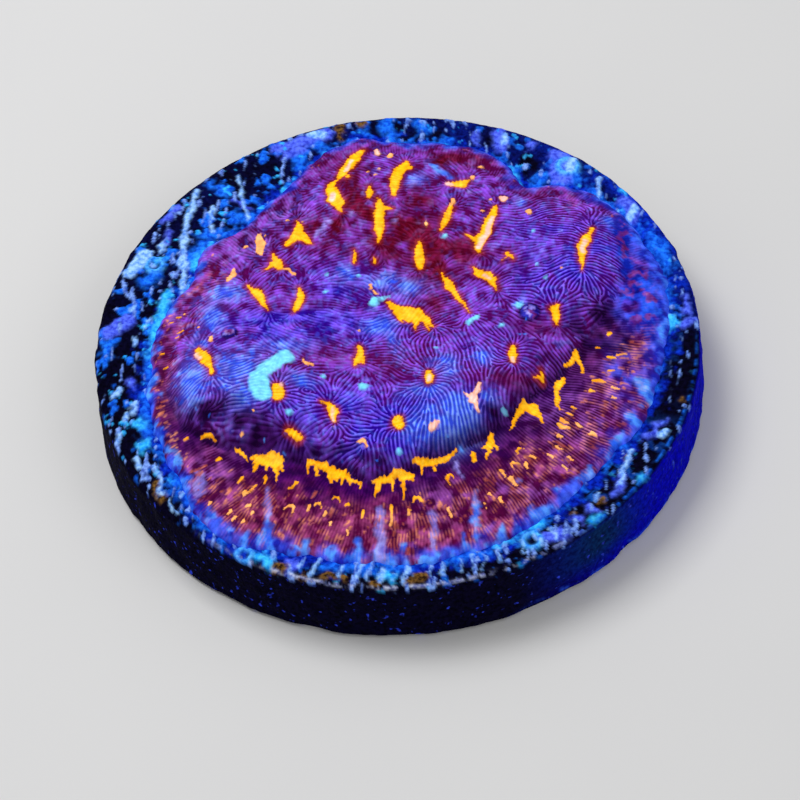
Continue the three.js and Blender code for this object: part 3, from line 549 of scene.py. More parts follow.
# Materials: colours of the furrows and of the ridges, for the ground and for each layer over it.
COLONY_GROUND = ((0.075, 0.0006, 0.07), (0.29, 0.075, 0.82))
COLONY_LAYERS = [
    ("crimson", (0.08, 0.0005, 0.008), (0.2, 0.007, 0.055)),
    ("indigo", (0.018, 0.0004, 0.24), (0.18, 0.1, 1.0)),
    ("skirt", (0.045, 0.0004, 0.03), (0.2, 0.016, 0.1)),
    ("rosy", (0.09, 0.0015, 0.036), (0.42, 0.075, 0.24)),
    # Painted shade on the front skirt just below the crease.
    ("shade_below_crease", (0.018, 0.0001, 0.05), (0.055, 0.001, 0.11)),
    ("violet", (0.04, 0.001, 0.05), (0.32, 0.1, 0.62)),
    # Blue tissue, with painted sheen and painted highlights on the lobes' crowns.
    ("azure", (0.03, 0.075, 0.7), (0.22, 0.42, 1.0)),
    ("shade", (0.008, 0.0003, 0.02), (0.05, 0.006, 0.12)),
    ("deep", (0.004, 0.003, 0.18), (0.02, 0.05, 0.72)),
    ("margin", (0.004, 0.015, 0.36), (0.03, 0.13, 0.98)),
    ("glow", (0.02, 0.12, 0.8), (0.1, 0.4, 1.0)),
    # Pale lilac tissue, and the painted glints in the bubbles.
    ("lilac", (0.2, 0.16, 0.62), (0.42, 0.38, 0.92)),
    # Painted glow round the polyps, and rust spots.
    ("polyp_glow_and_rust", (0.2, 0.01, 0.009), (0.42, 0.05, 0.035)),
    # Salmon streaks of tissue, and painted highlights on the front skirt's crests.
    ("salmon", (0.34, 0.06, 0.045), (0.85, 0.31, 0.14)),
    # Painted highlights: the patch on the left lobe's crown and glints on the wet tissue.
    ("cyan", (0.16, 0.62, 0.92), (0.22, 0.74, 1.0)),
    ("orange", (0.8, 0.24, 0.002), (0.88, 0.33, 0.004)),
    ("gold", (0.92, 0.46, 0.006), (0.98, 0.56, 0.04)),
    ("peach", (0.95, 0.4, 0.13), (1.0, 0.54, 0.24)),
    ("pink", (0.92, 0.5, 0.48), (1.0, 0.68, 0.66)),
]
DISC_GROUND = ((0.0006, 0.0004, 0.003), (0.002, 0.0014, 0.012))
DISC_LAYERS = [
    # Painted blue light on the wall's right side.
    ("painted_wall_light", (0.0004, 0.0004, 0.18), (0.001, 0.001, 0.4)),
    ("wall_teal", (0.0005, 0.005, 0.035), (0.002, 0.018, 0.08)),
    # Painted highlight along the wall's lower edge.
    ("wall_edge_highlight", (0.003, 0.01, 0.3), (0.02, 0.08, 0.6)),
    ("deep", (0.0008, 0.005, 0.22), (0.003, 0.03, 0.62)),
    # Azure crust, and the painted blue glint on the rim.
    ("azure", (0.003, 0.06, 0.6), (0.015, 0.2, 0.98)),
    ("lilac", (0.03, 0.05, 0.55), (0.1, 0.17, 0.95)),
    ("drag", (0.05, 0.1, 0.42), (0.2, 0.36, 0.85)),
    ("cyan", (0.01, 0.28, 0.9), (0.06, 0.55, 1.0)),
    ("coil", (0.02, 0.2, 0.8), (0.1, 0.48, 1.0)),
    ("brown", (0.02, 0.008, 0.003), (0.2, 0.1, 0.02)),
    ("pale", (0.1, 0.27, 0.8), (0.34, 0.6, 1.0)),
    # Painted highlight along the rounded front rim.
    ("rim", (0.12, 0.14, 0.4), (0.5, 0.55, 0.75)),
]
WALL_SPECKS = ((0.002, 0.002, 0.03), (0.02, 0.04, 0.5))
FLOOR_TONES = ((0.74, 0.74, 0.75), (0.78, 0.78, 0.78))
# Ranges of values that the materials stretch, and what the mottling multiplies colours by.
PATTERN_RANGE = (0.38, 1.0)
GRAIN_RANGE = (0.35, 0.65)
SPECK_RANGE = (0.66, 0.74)
NOISE_RANGE = (0.3, 0.7)
MOTTLE = (0.75, 1.25)
BUMP_STRENGTH = 0.5
MIX_LOW, MIX_HIGH, MIX_RESULT = 6, 7, 2  # colour sockets of a Mix node


def lerp(low, high, share):
    return low + (high - low) * share


def smoothstep(value, zero_at=0, full_at=1, strength=1):
    share = np.clip((value - zero_at) / (full_at - zero_at), 0.0, 1.0)
    return strength * (share * share * (3.0 - 2.0 * share))


def fade(name, value):
    return smoothstep(value, *FADES[name])


def bell(value, middle, width):
    return np.exp(-(((value - middle) / width) ** 2))


def around(name, degrees):
    return np.interp(degrees, *AROUND[name])


def polar(radius, angle):
    return radius * math.cos(angle), radius * math.sin(angle)


def bumps(x, y, spots):
    """The highest of several soft bumps, each x, y, reaches along x and y, and height."""
    total = np.zeros(np.shape(x))
    for spot_x, spot_y, reach_x, reach_y, strength in spots:
        far = ((x - spot_x) / reach_x) ** 2 + ((y - spot_y) / reach_y) ** 2
        total = np.maximum(total, strength * np.exp(-far))
    return total


def lattice_noise(x, y, size, seed):
    """Smooth noise from -1 to 1 that changes over about size."""
    values = np.random.default_rng(seed).uniform(-1, 1, (NOISE_LATTICE, NOISE_LATTICE))
    turn = NOISE_TURN + seed
    u = (x * math.cos(turn) + y * math.sin(turn)) / size
    v = (y * math.cos(turn) - x * math.sin(turn)) / size
    i = np.floor(u).astype(int)
    j = np.floor(v).astype(int)
    across = smoothstep(u - i)
    up = smoothstep(v - j)
    i, j = i % NOISE_LATTICE, j % NOISE_LATTICE
    i_next, j_next = (i + 1) % NOISE_LATTICE, (j + 1) % NOISE_LATTICE
    low = lerp(values[i, j], values[i_next, j], across)
    high = lerp(values[i, j_next], values[i_next, j_next], across)
    return lerp(low, high, up)


def layered_noise(x, y, size, seed, octaves, swing=1, middle=0):
    """Noise whose octaves each halve the size and the height."""
    total = 0.0
    for octave in range(octaves):
        total = total + lattice_noise(x, y, size / 2**octave, seed + octave) / 2**octave
    return middle + swing * total


def noise(name, x, y):
    return layered_noise(x, y, *NOISES[name])


def sample(grid, x, y):
    """Values of a square grid at places between its points."""
    side = grid.shape[0]
    step = 2 * GRID_HALF / side
    u, v = (np.clip((along + GRID_HALF) / step, 0, side - GRID_END) for along in (x, y))
    i, j = np.floor(u).astype(int), np.floor(v).astype(int)
    low = lerp(grid[i, j], grid[i + 1, j], u - i)
    high = lerp(grid[i, j + 1], grid[i + 1, j + 1], u - i)
    return lerp(low, high, v - j)


def grid_places(side):
    """x and y of a square grid's points, the first index running along x."""
    along = -GRID_HALF + 2 * GRID_HALF / side * np.arange(side)
    return np.meshgrid(along, along, indexing="ij")


def blurred(grid, reach):
    """A grid smoothed over reach millimetres."""
    frequency = np.fft.fftfreq(grid.shape[0], 2 * GRID_HALF / grid.shape[0])
    fall = np.exp(-2 * (math.pi * reach * frequency) ** 2)
    return np.fft.ifft2(np.fft.fft2(grid) * fall[:, None] * fall[None, :]).real


def from_limb(x, y, limb):
    """Offset from the nearest point of a limb's middle line, and the distance past its half-width."""
    off_x, off_y, nearest = 0.0, 0.0, math.inf
    for (x0, y0, wide0), (x1, y1, wide1) in zip(limb, limb[1:] or limb):
        run_x, run_y = x1 - x0, y1 - y0
        share = ((x - x0) * run_x + (y - y0) * run_y) / max(run_x**2 + run_y**2, TINY)
        share = np.clip(share, 0, 1)
        from_x, from_y = x - x0 - share * run_x, y - y0 - share * run_y
        distance = np.hypot(from_x, from_y) - lerp(wide0, wide1, share)
        closer = distance < nearest
        off_x, off_y = np.where(closer, from_x, off_x), np.where(closer, from_y, off_y)
        nearest = np.where(closer, distance, nearest)
    return off_x, off_y, nearest


def edge_by_angle(x, y):
    """A closed outline about the pole as a function from angle to radius."""
    angle = np.arctan2(y, x)
    order = np.argsort(angle)
    radius = np.hypot(x, y)[order]
    return lambda at: np.interp(at, angle[order], radius, period=2 * math.pi)


def solid_margin():
    """Radius of the colony's edge against the angle, from the solid's underside."""
    places = np.array([v.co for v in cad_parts["coral_colony"].data.vertices]) / MM
    low = places[places[:, 2] < DISC_TOP + UNDERSIDE_SLACK]
    edge = low[np.hypot(low[:, 0], low[:, 1]) > UNDERSIDE_HUB]
    return edge_by_angle(edge[:, 0], edge[:, 1])


def solid_heights():
    """Height of the solid colony above the disc on a grid, its facets smoothed away."""
    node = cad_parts["coral_colony"].data
    tree = BVHTree.FromPolygons([v.co for v in node.vertices], [p.vertices[:] for p in node.polygons])
    x, y = grid_places(HEIGHT_SIDE)
    heights = np.zeros(x.shape)
    inside = np.zeros(x.shape)
    down = Vector((0, 0, -1))
    for index in np.ndindex(x.shape):
        hit = tree.ray_cast(Vector((x[index] * MM, y[index] * MM, RAY_START)), down)[0]
        if hit is not None:
            heights[index] = hit.z / MM - DISC_TOP
            inside[index] = 1.0
    return blurred(heights, HEIGHT_BLUR) / np.maximum(blurred(inside, HEIGHT_BLUR), HEIGHT_LEAST_SHARE)


margin_radius = solid_margin()
foot_radius = edge_by_angle(*np.array(FOOT).T)
HEIGHTS = solid_heights()


def past_foot(x, y):
    """Distance out from the foot of the mound, negative on the mound."""
    return np.hypot(x, y) - foot_radius(np.arctan2(y, x))


def skirt_share(x, y):
    """0 on the mound, 1 on the skirt."""
    return fade("skirt", past_foot(x, y))


def edge_radius(angle):
    """Radius of the finished edge, which wavers about the solid's."""
    x, y = EDGE_RING * np.cos(angle), EDGE_RING * np.sin(angle)
    return margin_radius(angle) + noise("edge", x, y)


def edge_distance(x, y):
    """Distance in from the edge."""
    return edge_radius(np.arctan2(y, x)) - np.hypot(x, y)


def septa_direction():
    """Angle from +X of the septa on the grid, from 0 to pi."""
    x, y = grid_places(DIRECTION_SIDE)
    cosine = np.zeros(x.shape)
    sine = np.zeros(x.shape)
    nearest = np.full(x.shape, FAR)

    def draw_to(turn, weight):
        nonlocal cosine, sine
        cosine = cosine + weight * np.cos(2 * turn)
        sine = sine + weight * np.sin(2 * turn)

    for limb in POLYPS + HOLLOWS:
        off_x, off_y, distance = from_limb(x, y, limb)
        nearest = np.minimum(nearest, distance)
        strength = DRAW_LEAST + DRAW_BY_LENGTH * math.dist(limb[0][:2], limb[-1][:2])
        draw_to(np.arctan2(off_y, off_x), strength * (off_x**2 + off_y**2 + DRAW_NEAR**2) ** DRAW_FALL)
    for flow_x, flow_y, degrees, reach in FLOW:
        draw_to(math.radians(degrees), FLOW_WEIGHT * bumps(x, y, [(flow_x, flow_y, reach, reach, 1)]))
    for whorl_x, whorl_y, reach in WHORLS:
        weight = WHORL_WEIGHT * bumps(x, y, [(whorl_x, whorl_y, reach, reach, 1)])
        draw_to(np.arctan2(y - whorl_y, x - whorl_x) + math.pi / 2, weight)

    turn = np.arctan2(sine, cosine)
    for name in ("wide wander", "small wander"):
        turn = turn + 2 * noise(name, x, y) * fade("off polyps", nearest)
    outward = 2 * np.arctan2(y - SKIRT_CENTRE[1], x - SKIRT_CENTRE[0])
    outward = outward + noise("skirt wander", x, y)
    skirt = skirt_share(x, y)
    cosine = lerp(np.cos(turn), np.cos(outward), skirt)
    sine = lerp(np.sin(turn), np.sin(outward), skirt)
    fine_x, fine_y = grid_places(GRID_SIDE)
    turn = np.arctan2(sample(sine, fine_x, fine_y), sample(cosine, fine_x, fine_y)) / 2
    return turn % math.pi


def septa_waves(direction, period):
    """Septa as a complex wave on the grid: its real part is 1 on a crest and -1 in a furrow."""
    frequency = np.fft.fftfreq(GRID_SIDE, GRID_STEP)
    across_x, across_y = np.meshgrid(frequency, frequency, indexing="ij")
    turn = direction / math.pi * SEPTA_TURNS
    septa = np.random.default_rng(SEPTA_SEED).normal(size=direction.shape)
    for _ in range(SEPTA_PASSES):
        spectrum = np.fft.fft2(septa)
        wave = np.zeros(direction.shape, complex)
        for step in range(SEPTA_TURNS):
            angle = math.pi * step / SEPTA_TURNS
            across = across_y * math.cos(angle) - across_x * math.sin(angle)
            along = across_x * math.cos(angle) + across_y * math.sin(angle)
            passed = ((across - 1 / period) / SEPTA_BAND) ** 2 + (along / SEPTA_STRAIGHTNESS) ** 2
            found = np.fft.ifft2(spectrum * np.exp(-passed))
            wave += np.maximum(0, 1 - np.abs(turn - step)) * found
            if step == 0:
                wave += np.maximum(0, 1 - np.abs(turn - SEPTA_TURNS)) * found.conj()
        size = np.abs(wave)
        wave /= size + SEPTA_FLOOR * size.mean()
        septa = wave.real
    return wave


def zero_places(wave, direction):
    """Places between grid points where a wave's imaginary part passes 0, and the sign of its real part."""
    x, y = grid_places(GRID_SIDE)
    found = []
    for step_x, step_y in ((1, 0), (0, 1)):
        near = slice(GRID_SIDE - step_x), slice(GRID_SIDE - step_y)
        far = slice(step_x, None), slice(step_y, None)
        same_way = np.cos(direction[far] - direction[near]) > 0
        first, second = wave[near], np.where(same_way, wave[far], wave[far].conj())
        passed = (first.imag * second.imag < 0) & (np.abs(first.imag - second.imag) < SEAM_JUMP)
        first, second = first[passed], second[passed]
        share = first.imag / (first.imag - second.imag)
        place_x = x[near][passed] + share * step_x * GRID_STEP
        place_y = y[near][passed] + share * step_y * GRID_STEP
        found.append(np.stack([place_x, place_y, np.sign(lerp(first.real, second.real, share))], 1))
    return np.concatenate(found)


def thinned(places, spacing):
    """Indices of the places kept so that no two are nearer than spacing; earlier places come first."""
    kept = {}
    chosen = []
    cells = np.floor(places / spacing).astype(int).tolist()
    steps = list(itertools.product((-1, 0, 1), repeat=3))
    limit = spacing**2

    def crowded(x, y, z, i, j, k):
        for di, dj, dk in steps:
            for px, py, pz in kept.get((i + di, j + dj, k + dk), ()):
                if (px - x) ** 2 + (py - y) ** 2 + (pz - z) ** 2 < limit:
                    return True
        return False

    for index, (place, cell) in enumerate(zip(places.tolist(), cells)):
        if not crowded(*place, *cell):
            kept.setdefault(tuple(cell), []).append(place)
            chosen.append(index)
    return np.array(chosen)


def outward_from(x, y):
    return math.atan2(y - SKIRT_CENTRE[1], x - SKIRT_CENTRE[0])


def drop(x, y, length, half_width):
    """A fleck that tapers outwards."""
    run_x, run_y = polar(length, outward_from(x, y))
    return (x, y, half_width), (x + run_x, y + run_y, DROP_TAPER * half_width)


def hook(x, y, size):
    """A fleck bent over like an arch, its open side outwards."""
    cosine, sine = polar(1, outward_from(x, y))
    places = []
    for out, side, wide in HOOK_BENDS:
        place_x = x + size * (out * cosine - side * sine)
        place_y = y + size * (out * sine + side * cosine)
        places.append((place_x, place_y, size * wide))
    return tuple(places)


def salmon_streaks():
    """Fine streaks strewn over the skirt, most of them at the front."""
    rng = np.random.default_rng(STREAK_SEED)
    streaks = []
    while len(streaks) < STREAK_COUNT:
        angle = rng.uniform(-math.pi, math.pi)
        share = rng.beta(*STREAK_SPREAD)
        outer = float(margin_radius(angle)) - STREAK_FROM_EDGE
        inner = min(float(foot_radius(angle)) + STREAK_FROM_FOOT, outer - STREAK_BAND)
        front = fade("streak front", math.sin(angle) + STREAK_LEFT * min(math.cos(angle), 0))
        if rng.uniform() > lerp(STREAK_BACK, 1, front):
            continue
        length = rng.uniform(0, STREAK_LENGTH) * lerp(*STREAK_LENGTHS, share)
        length = length * fade("streak length", math.sin(angle))
        half_width = rng.uniform(*STREAK_WIDTHS)
        streaks.append(drop(*polar(lerp(inner, outer, share), angle), length, half_width))
    return streaks


def pale_specks():
    rng = np.random.default_rng(SPECK_SEED)
    specks = []
    while len(specks) < SPECK_COUNT:
        angle, reach = rng.uniform(-math.pi, math.pi), math.sqrt(rng.uniform())
        half_width = SPECK_LEAST + SPECK_MORE * rng.uniform() ** 2
        specks.append(((*polar(reach * float(foot_radius(angle)), angle), half_width),))
    return specks


def stamp(grid, places, limb):
    """Lowers a grid of distances to the distance from a limb, near that limb."""
    reach = STAMP_REACH + max(wide for _, _, wide in limb)
    window = []
    for axis in range(2):
        low = min(place[axis] for place in limb) - reach
        high = max(place[axis] for place in limb) + reach
        start = max(0, int((low + GRID_HALF) / GRID_STEP))
        window.append(slice(start, min(GRID_SIDE, int((high + GRID_HALF) / GRID_STEP) + 1)))
    window = tuple(window)
    found = from_limb(places[0][window], places[1][window], limb)[2]
    grid[window] = np.minimum(grid[window], found)


def tissue_maps(wave):
    """Distances on the grid to each kind of marked tissue, negative inside."""
    x, y = grid_places(GRID_SIDE)
    ragged = x + noise("ragged x", x, y), y + noise("ragged y", x, y)
    flecks = [drop(*fleck) for fleck in DROPS] + [hook(*bent) for bent in HOOKS]
    kinds = {
        "bright": POLYPS + LOBES + CREASE + flecks + PEACH + PINK, "polyp": POLYPS + LOBES,
        "salmon": salmon_streaks(), "peach": PEACH, "pink": PINK + CORES, "cyan": CYAN,
        "patch": CYAN_PATCH, "lilac": LILAC, "streak": STREAKS, "speck": pale_specks(),
    }
    maps = {}
    for name, kind in kinds.items():
        maps[name] = np.full(x.shape, FAR)
        for limb in kind:
            stamp(maps[name], ragged, limb)
    maps["bright"] -= FRINGE * wave.real
    return maps


def raise_to(masks, name, share):
    masks[name] = np.maximum(masks[name], share)


def colony_masks(x, y, septa, maps):
    """Where each kind of tissue, painted shade and painted highlight lies, from 0 to 1 at each vertex, and
    the height of the bubbles' domes.
    """
    blotch, fine = noise("blotch", x, y), noise("fine", x, y)
    masks = {}
    for name, (kind, waver, *fall) in MARKS.items():
        masks[name] = smoothstep(sample(maps[kind], x, y) + waver * fine, *fall)
    for name, spots in TINTS.items():
        masks[name] = np.clip(bumps(x, y, spots) * (TINT_GAIN + TINT_BLOTCH * blotch), 0, 1)

    angle = np.arctan2(y, x)
    out = past_foot(x, y)
    front, low = fade("front", np.sin(angle)), fade("low", np.sin(angle))
    masks["skirt"] = skirt_share(x, y) * lerp(SKIRT_AT_BACK, 1, front)
    # Painted sheen: fine speckled blue highlights over the mound, laid into the azure.
    grain_and_sheen = fade("grain_and_sheen", noise("grain_and_sheen", x, y) + SHEEN_FINE * fine)
    grain_and_sheen = grain_and_sheen * (1 - masks["skirt"]) * (1 - SHEEN_OFF_CRIMSON * masks["crimson"])
    azure = masks["azure"] * (AZURE_PLAIN + AZURE_SHEEN * grain_and_sheen) + SHEEN_ALONE * grain_and_sheen
    masks["azure"] = np.clip(azure, 0, 1)
    plain = 1 - BELOW_CREASE_SHADE_OFF_ROSY * masks["rosy"]
    # Painted shade on the front skirt just below the crease.
    masks["shade_below_crease"] = low * plain * fade("dusk in", out) * fade("dusk out", out + BELOW_CREASE_SHADE_BLOTCH * blotch)
    raise_to(masks, "rosy", fade("grown", out) * front)
    masks["rosy"] = np.clip(masks["rosy"] * (ROSY_PLAIN + ROSY_FINE * fine), 0, 1)
    crease = low * bell(np.minimum(out, 0), *LINES["crease"]) * (out < CREASE_SHADE_END)
    raise_to(masks, "shade", CREASE_SHADE * crease)

    edge = edge_distance(x, y) + noise("margin", x, y)
    gaps = low * fade("gaps", noise("gaps", x, y))
    masks["margin"] = fade("margin", edge / around("margin", np.degrees(angle))) * (1 - gaps)
    raise_to(masks, "margin", fade("mottle", blotch) * masks["deep"])
    glow = fade("glow", noise("glow", x, y)) * fade("glow edge", edge) * lerp(GLOW_AT_BACK, 1, front)
    masks["glow"] = np.maximum.reduce([glow, masks.pop("speck"), masks.pop("streak")])

    # Bubbles are painted: a ring of painted shade at the edge, a deep blue fill and painted glints inside.
    dome = np.zeros(x.shape)
    sparkle = fade("sparkle", noise("sparkle", x, y))
    for bubble_x, bubble_y, radius in BUBBLES:
        off = np.hypot(x - bubble_x, y - bubble_y) / radius
        dome = np.maximum(dome, np.sqrt(np.clip(1 - off**2, 0, 1)))
        raise_to(masks, "shade", bell(off, *LINES["bubble"]))
        raise_to(masks, "deep", fade("bubble", off))
        raise_to(masks, "lilac", sparkle * (off < GLINT_REACH))

    # Painted highlight: the cyan patch on the left lobe's crown.
    raise_to(masks, "cyan", masks.pop("patch"))
    # Painted highlights: salmon on the crests of the front skirt.
    lit = fade("crest", septa) * fade("lit", noise("lit", x, y)) * fade("lit out", out) * front
    raise_to(masks, "salmon", lit)
    masks["salmon"] = masks["salmon"] * (1 - np.maximum(masks["glow"], masks["margin"]))
    # The halo round the polyps is painted glow; rust spots are added to it here.
    raise_to(masks, "polyp_glow_and_rust", fade("rust", fine) * fade("rust deep", masks["deep"]))
    raise_to(masks, "peach", fade("outer", out) * masks["orange"])
    return masks, dome


def colony_lustre(x, y, masks):
    """How clearly the septa stand out at each vertex, from 0 to 1."""
    lustre = lerp(FAINT_LUSTRE, 1, bumps(x, y, LUSTRE)) * noise("lustre", x, y)
    covered = np.maximum.reduce([masks["margin"], masks["glow"], masks["deep"]])
    lustre = lustre * lerp(1, SKIRT_LUSTRE, skirt_share(x, y)) * (1 - LUSTRE_LOSS * covered)
    return np.clip(lustre, LEAST_LUSTRE, 1)


def colony_pattern(x, y, septa, lustre):
    """Share of the ridge colour at each vertex: lines where the tissue is lustrous, blotches elsewhere."""
    line = fade("line", septa) * noise("line", x, y)
    return np.clip(lerp(noise("pattern", x, y), line, lustre), 0, 1)


def colony_relief(x, y, septa, lustre, masks, dome):
    """Height of the finished surface above the disc."""
    edge = edge_distance(x, y)
    ridge = SEPTA_HEIGHT * lerp(1, SKIRT_RELIEF, skirt_share(x, y)) * lerp(FAINT_RELIEF, 1, lustre)
    ridge = ridge * (1 - CYAN_SMOOTH * masks["cyan"]) * lerp(1, GOLD_RELIEF, masks["gold"])
    ridge = ridge * fade("ridge edge", edge) * noise("beads", x, y)
    height = sample(HEIGHTS, x, y) + ridge * septa + noise("ground", x, y)
    height = height + ORANGE_RISE * masks["orange"] + CYAN_RISE * masks["cyan"] + BUBBLE_RISE * dome
    rounding = np.sqrt(np.clip(edge / EDGE_ROUND, 0, 1))
    return lerp(EDGE_LIP, np.maximum(height, EDGE_LIP), rounding)


def triangulated(x, y):
    """Triangles of a plan view, each turning to the left."""
    made = delaunay_2d_cdt([Vector(place) for place in zip(x, y)], [], [], 0, MERGE)
    origin = np.array([ids[0] if ids else -1 for ids in made[3]])
    triangles = origin[np.array(made[2])]
    a, b, c = (np.stack([x, y], 1)[triangles[:, k]] for k in range(3))
    left = (b[:, 0] - a[:, 0]) * (c[:, 1] - a[:, 1]) - (b[:, 1] - a[:, 1]) * (c[:, 0] - a[:, 0])
    triangles[left < 0] = triangles[left < 0][:, ::-1]
    return triangles[np.abs(left) > TINY]


def band(upper, lower):
    """Two rows of triangles between two loops of as many vertices."""
    upper_next, lower_next = np.roll(upper, -1), np.roll(lower, -1)
    return [np.stack([upper, lower, lower_next], 1), np.stack([upper, lower_next, upper_next], 1)]


def fan(pole, loop):
    """Triangles from a pole to a loop round it."""
    return np.stack([np.full(len(loop), pole), loop, np.roll(loop, -1)], 1)


def lifted(x, y, above=0.0):
    return np.stack([x, y, sample(HEIGHTS, x, y) + above], 1)


def colony_points(waves, direction, bright, cyan):
    """Plan places of the colony's vertices and their septa value, the edge's loop first."""
    angle = np.linspace(-math.pi, math.pi, round(2 * math.pi * EDGE_MEAN / EDGE_SPACING), endpoint=False)
    loop = np.stack([edge_radius(angle) * np.cos(angle), edge_radius(angle) * np.sin(angle)], 1)

    outlines = []
    for grid, level in [(bright, level) for level in OUTLINE_LEVELS] + [(cyan, 0.0)]:
        places = zero_places(1j * (grid - level), np.zeros(grid.shape))[:, :2]
        places = places[edge_distance(*places.T) > OUTLINE_FROM_EDGE]
        outlines.append(places[thinned(lifted(*places.T), OUTLINE_SPACING)])
    outlines = np.concatenate(outlines)
    mound, skirt = (sample(wave.real, *outlines.T) for wave in waves)
    drawn = lerp(mound, skirt, skirt_share(*outlines.T))

    ridges = []
    for wave, on_skirt in zip(waves, (False, True)):
        places = zero_places(wave, direction)
        x, y = places[:, 0], places[:, 1]
        kept = (edge_distance(x, y) > RIDGE_FROM_EDGE) & ((past_foot(x, y) > 0) == on_skirt)
        for grid in (bright, cyan):
            kept &= np.abs(sample(grid, x, y)) > OUTLINE_CLEAR
        ridges.append(places[kept])
    ridges = np.concatenate(ridges)
    heights = lifted(ridges[:, 0], ridges[:, 1], SEPTA_HEIGHT * ridges[:, 2])
    ridges = ridges[thinned(heights, SEPTA_SPACING)]

    x, y = np.concatenate([loop, outlines, ridges[:, :2]]).T
    septa = np.concatenate([np.zeros(len(loop)), drawn, ridges[:, 2]])
    return x, y, septa, len(loop)


def build_colony(material):
    direction = septa_direction()
    waves = [septa_waves(direction, period) for period in (MOUND_PERIOD, SKIRT_PERIOD)]
    maps = tissue_maps(waves[0])
    x, y, septa, loop = colony_points(waves, direction, maps["bright"], maps["cyan"])
    masks, dome = colony_masks(x, y, septa, maps)
    lustre = colony_lustre(x, y, masks)
    z = DISC_TOP + colony_relief(x, y, septa, lustre, masks, dome)
    triangles = triangulated(x, y)
    triangles = triangles[edge_distance(x[triangles].mean(1), y[triangles].mean(1)) > 0]

    upper = np.arange(loop)
    lower = len(x) + upper
    underside = fan(len(x) + loop, lower)[:, ::-1]
    triangles = np.concatenate([triangles, *band(upper, lower), underside])
    sunk = DISC_TOP - COLONY_SINK
    rim = np.stack([x[:loop], y[:loop], np.full(loop, sunk)], 1)
    places = np.concatenate([np.stack([x, y, z], 1), rim, [[0, 0, sunk]]])
    fields = {"pattern": colony_pattern(x, y, septa, lustre), **masks}
    fields = {name: np.concatenate([v, v[:loop], v[:1]]) for name, v in fields.items()}
    return mesh_object("coral", places, triangles, fields, material)


def add_object(name, data):
    made = bpy.data.objects.new(name, data)
    bpy.context.scene.collection.objects.link(made)
    return made


def mesh_object(name, places, triangles, fields, material):
    """A closed mesh with its fields as vertex attributes; edges that turn sharply stay sharp."""
    mesh = bpy.data.meshes.new(name)
    mesh.from_pydata((places * MM).tolist(), [], triangles.tolist())
    for key, values in fields.items():
        layer = mesh.attributes.new(key, "FLOAT", "POINT")
        layer.data.foreach_set("value", np.ascontiguousarray(values, dtype=np.float32))
    mesh.polygons.foreach_set("use_smooth", np.ones(len(mesh.polygons), bool))
    mesh.set_sharp_from_angle(angle=SHARP_ANGLE)
    mesh.materials.append(material)
    return add_object(name, mesh)


def disc_rows():
    """Radius and height of the disc's rows, from the top's inner edge round to the flat underside."""
    shoulder = DISC_RADIUS - DISC_LEAN
    rows = [(radius, DISC_TOP) for radius in np.arange(DISC_INNER, shoulder - DISC_ROUND, DISC_ROW)]
    for turn in np.linspace(math.pi / 2, 0, DISC_BEND_ROWS):
        out, up = polar(DISC_ROUND, turn)
        rows.append((shoulder - DISC_ROUND + out, DISC_TOP - DISC_ROUND + up))
    for share in np.linspace(0, 1, DISC_WALL_ROWS)[1:]:
        rows.append((lerp(shoulder, DISC_RADIUS, share), lerp(DISC_TOP - DISC_ROUND, DISC_CHAMFER, share)))
    for cut in (DISC_CHAMFER / 2, DISC_CHAMFER):
        rows.append((DISC_RADIUS - cut, DISC_CHAMFER - cut))
    return np.array(rows)


def from_bars(x, y, bars):
    """Distance to the nearest of several bars given by angle and radius, negative inside."""
    nearest = np.full(x.shape, FAR)
    for start, start_radius, end, end_radius, half_width in bars:
        ends = polar(start_radius, math.radians(start)), polar(end_radius, math.radians(end))
        nearest = np.minimum(nearest, from_limb(x, y, [(*place, half_width) for place in ends])[2])
    return nearest


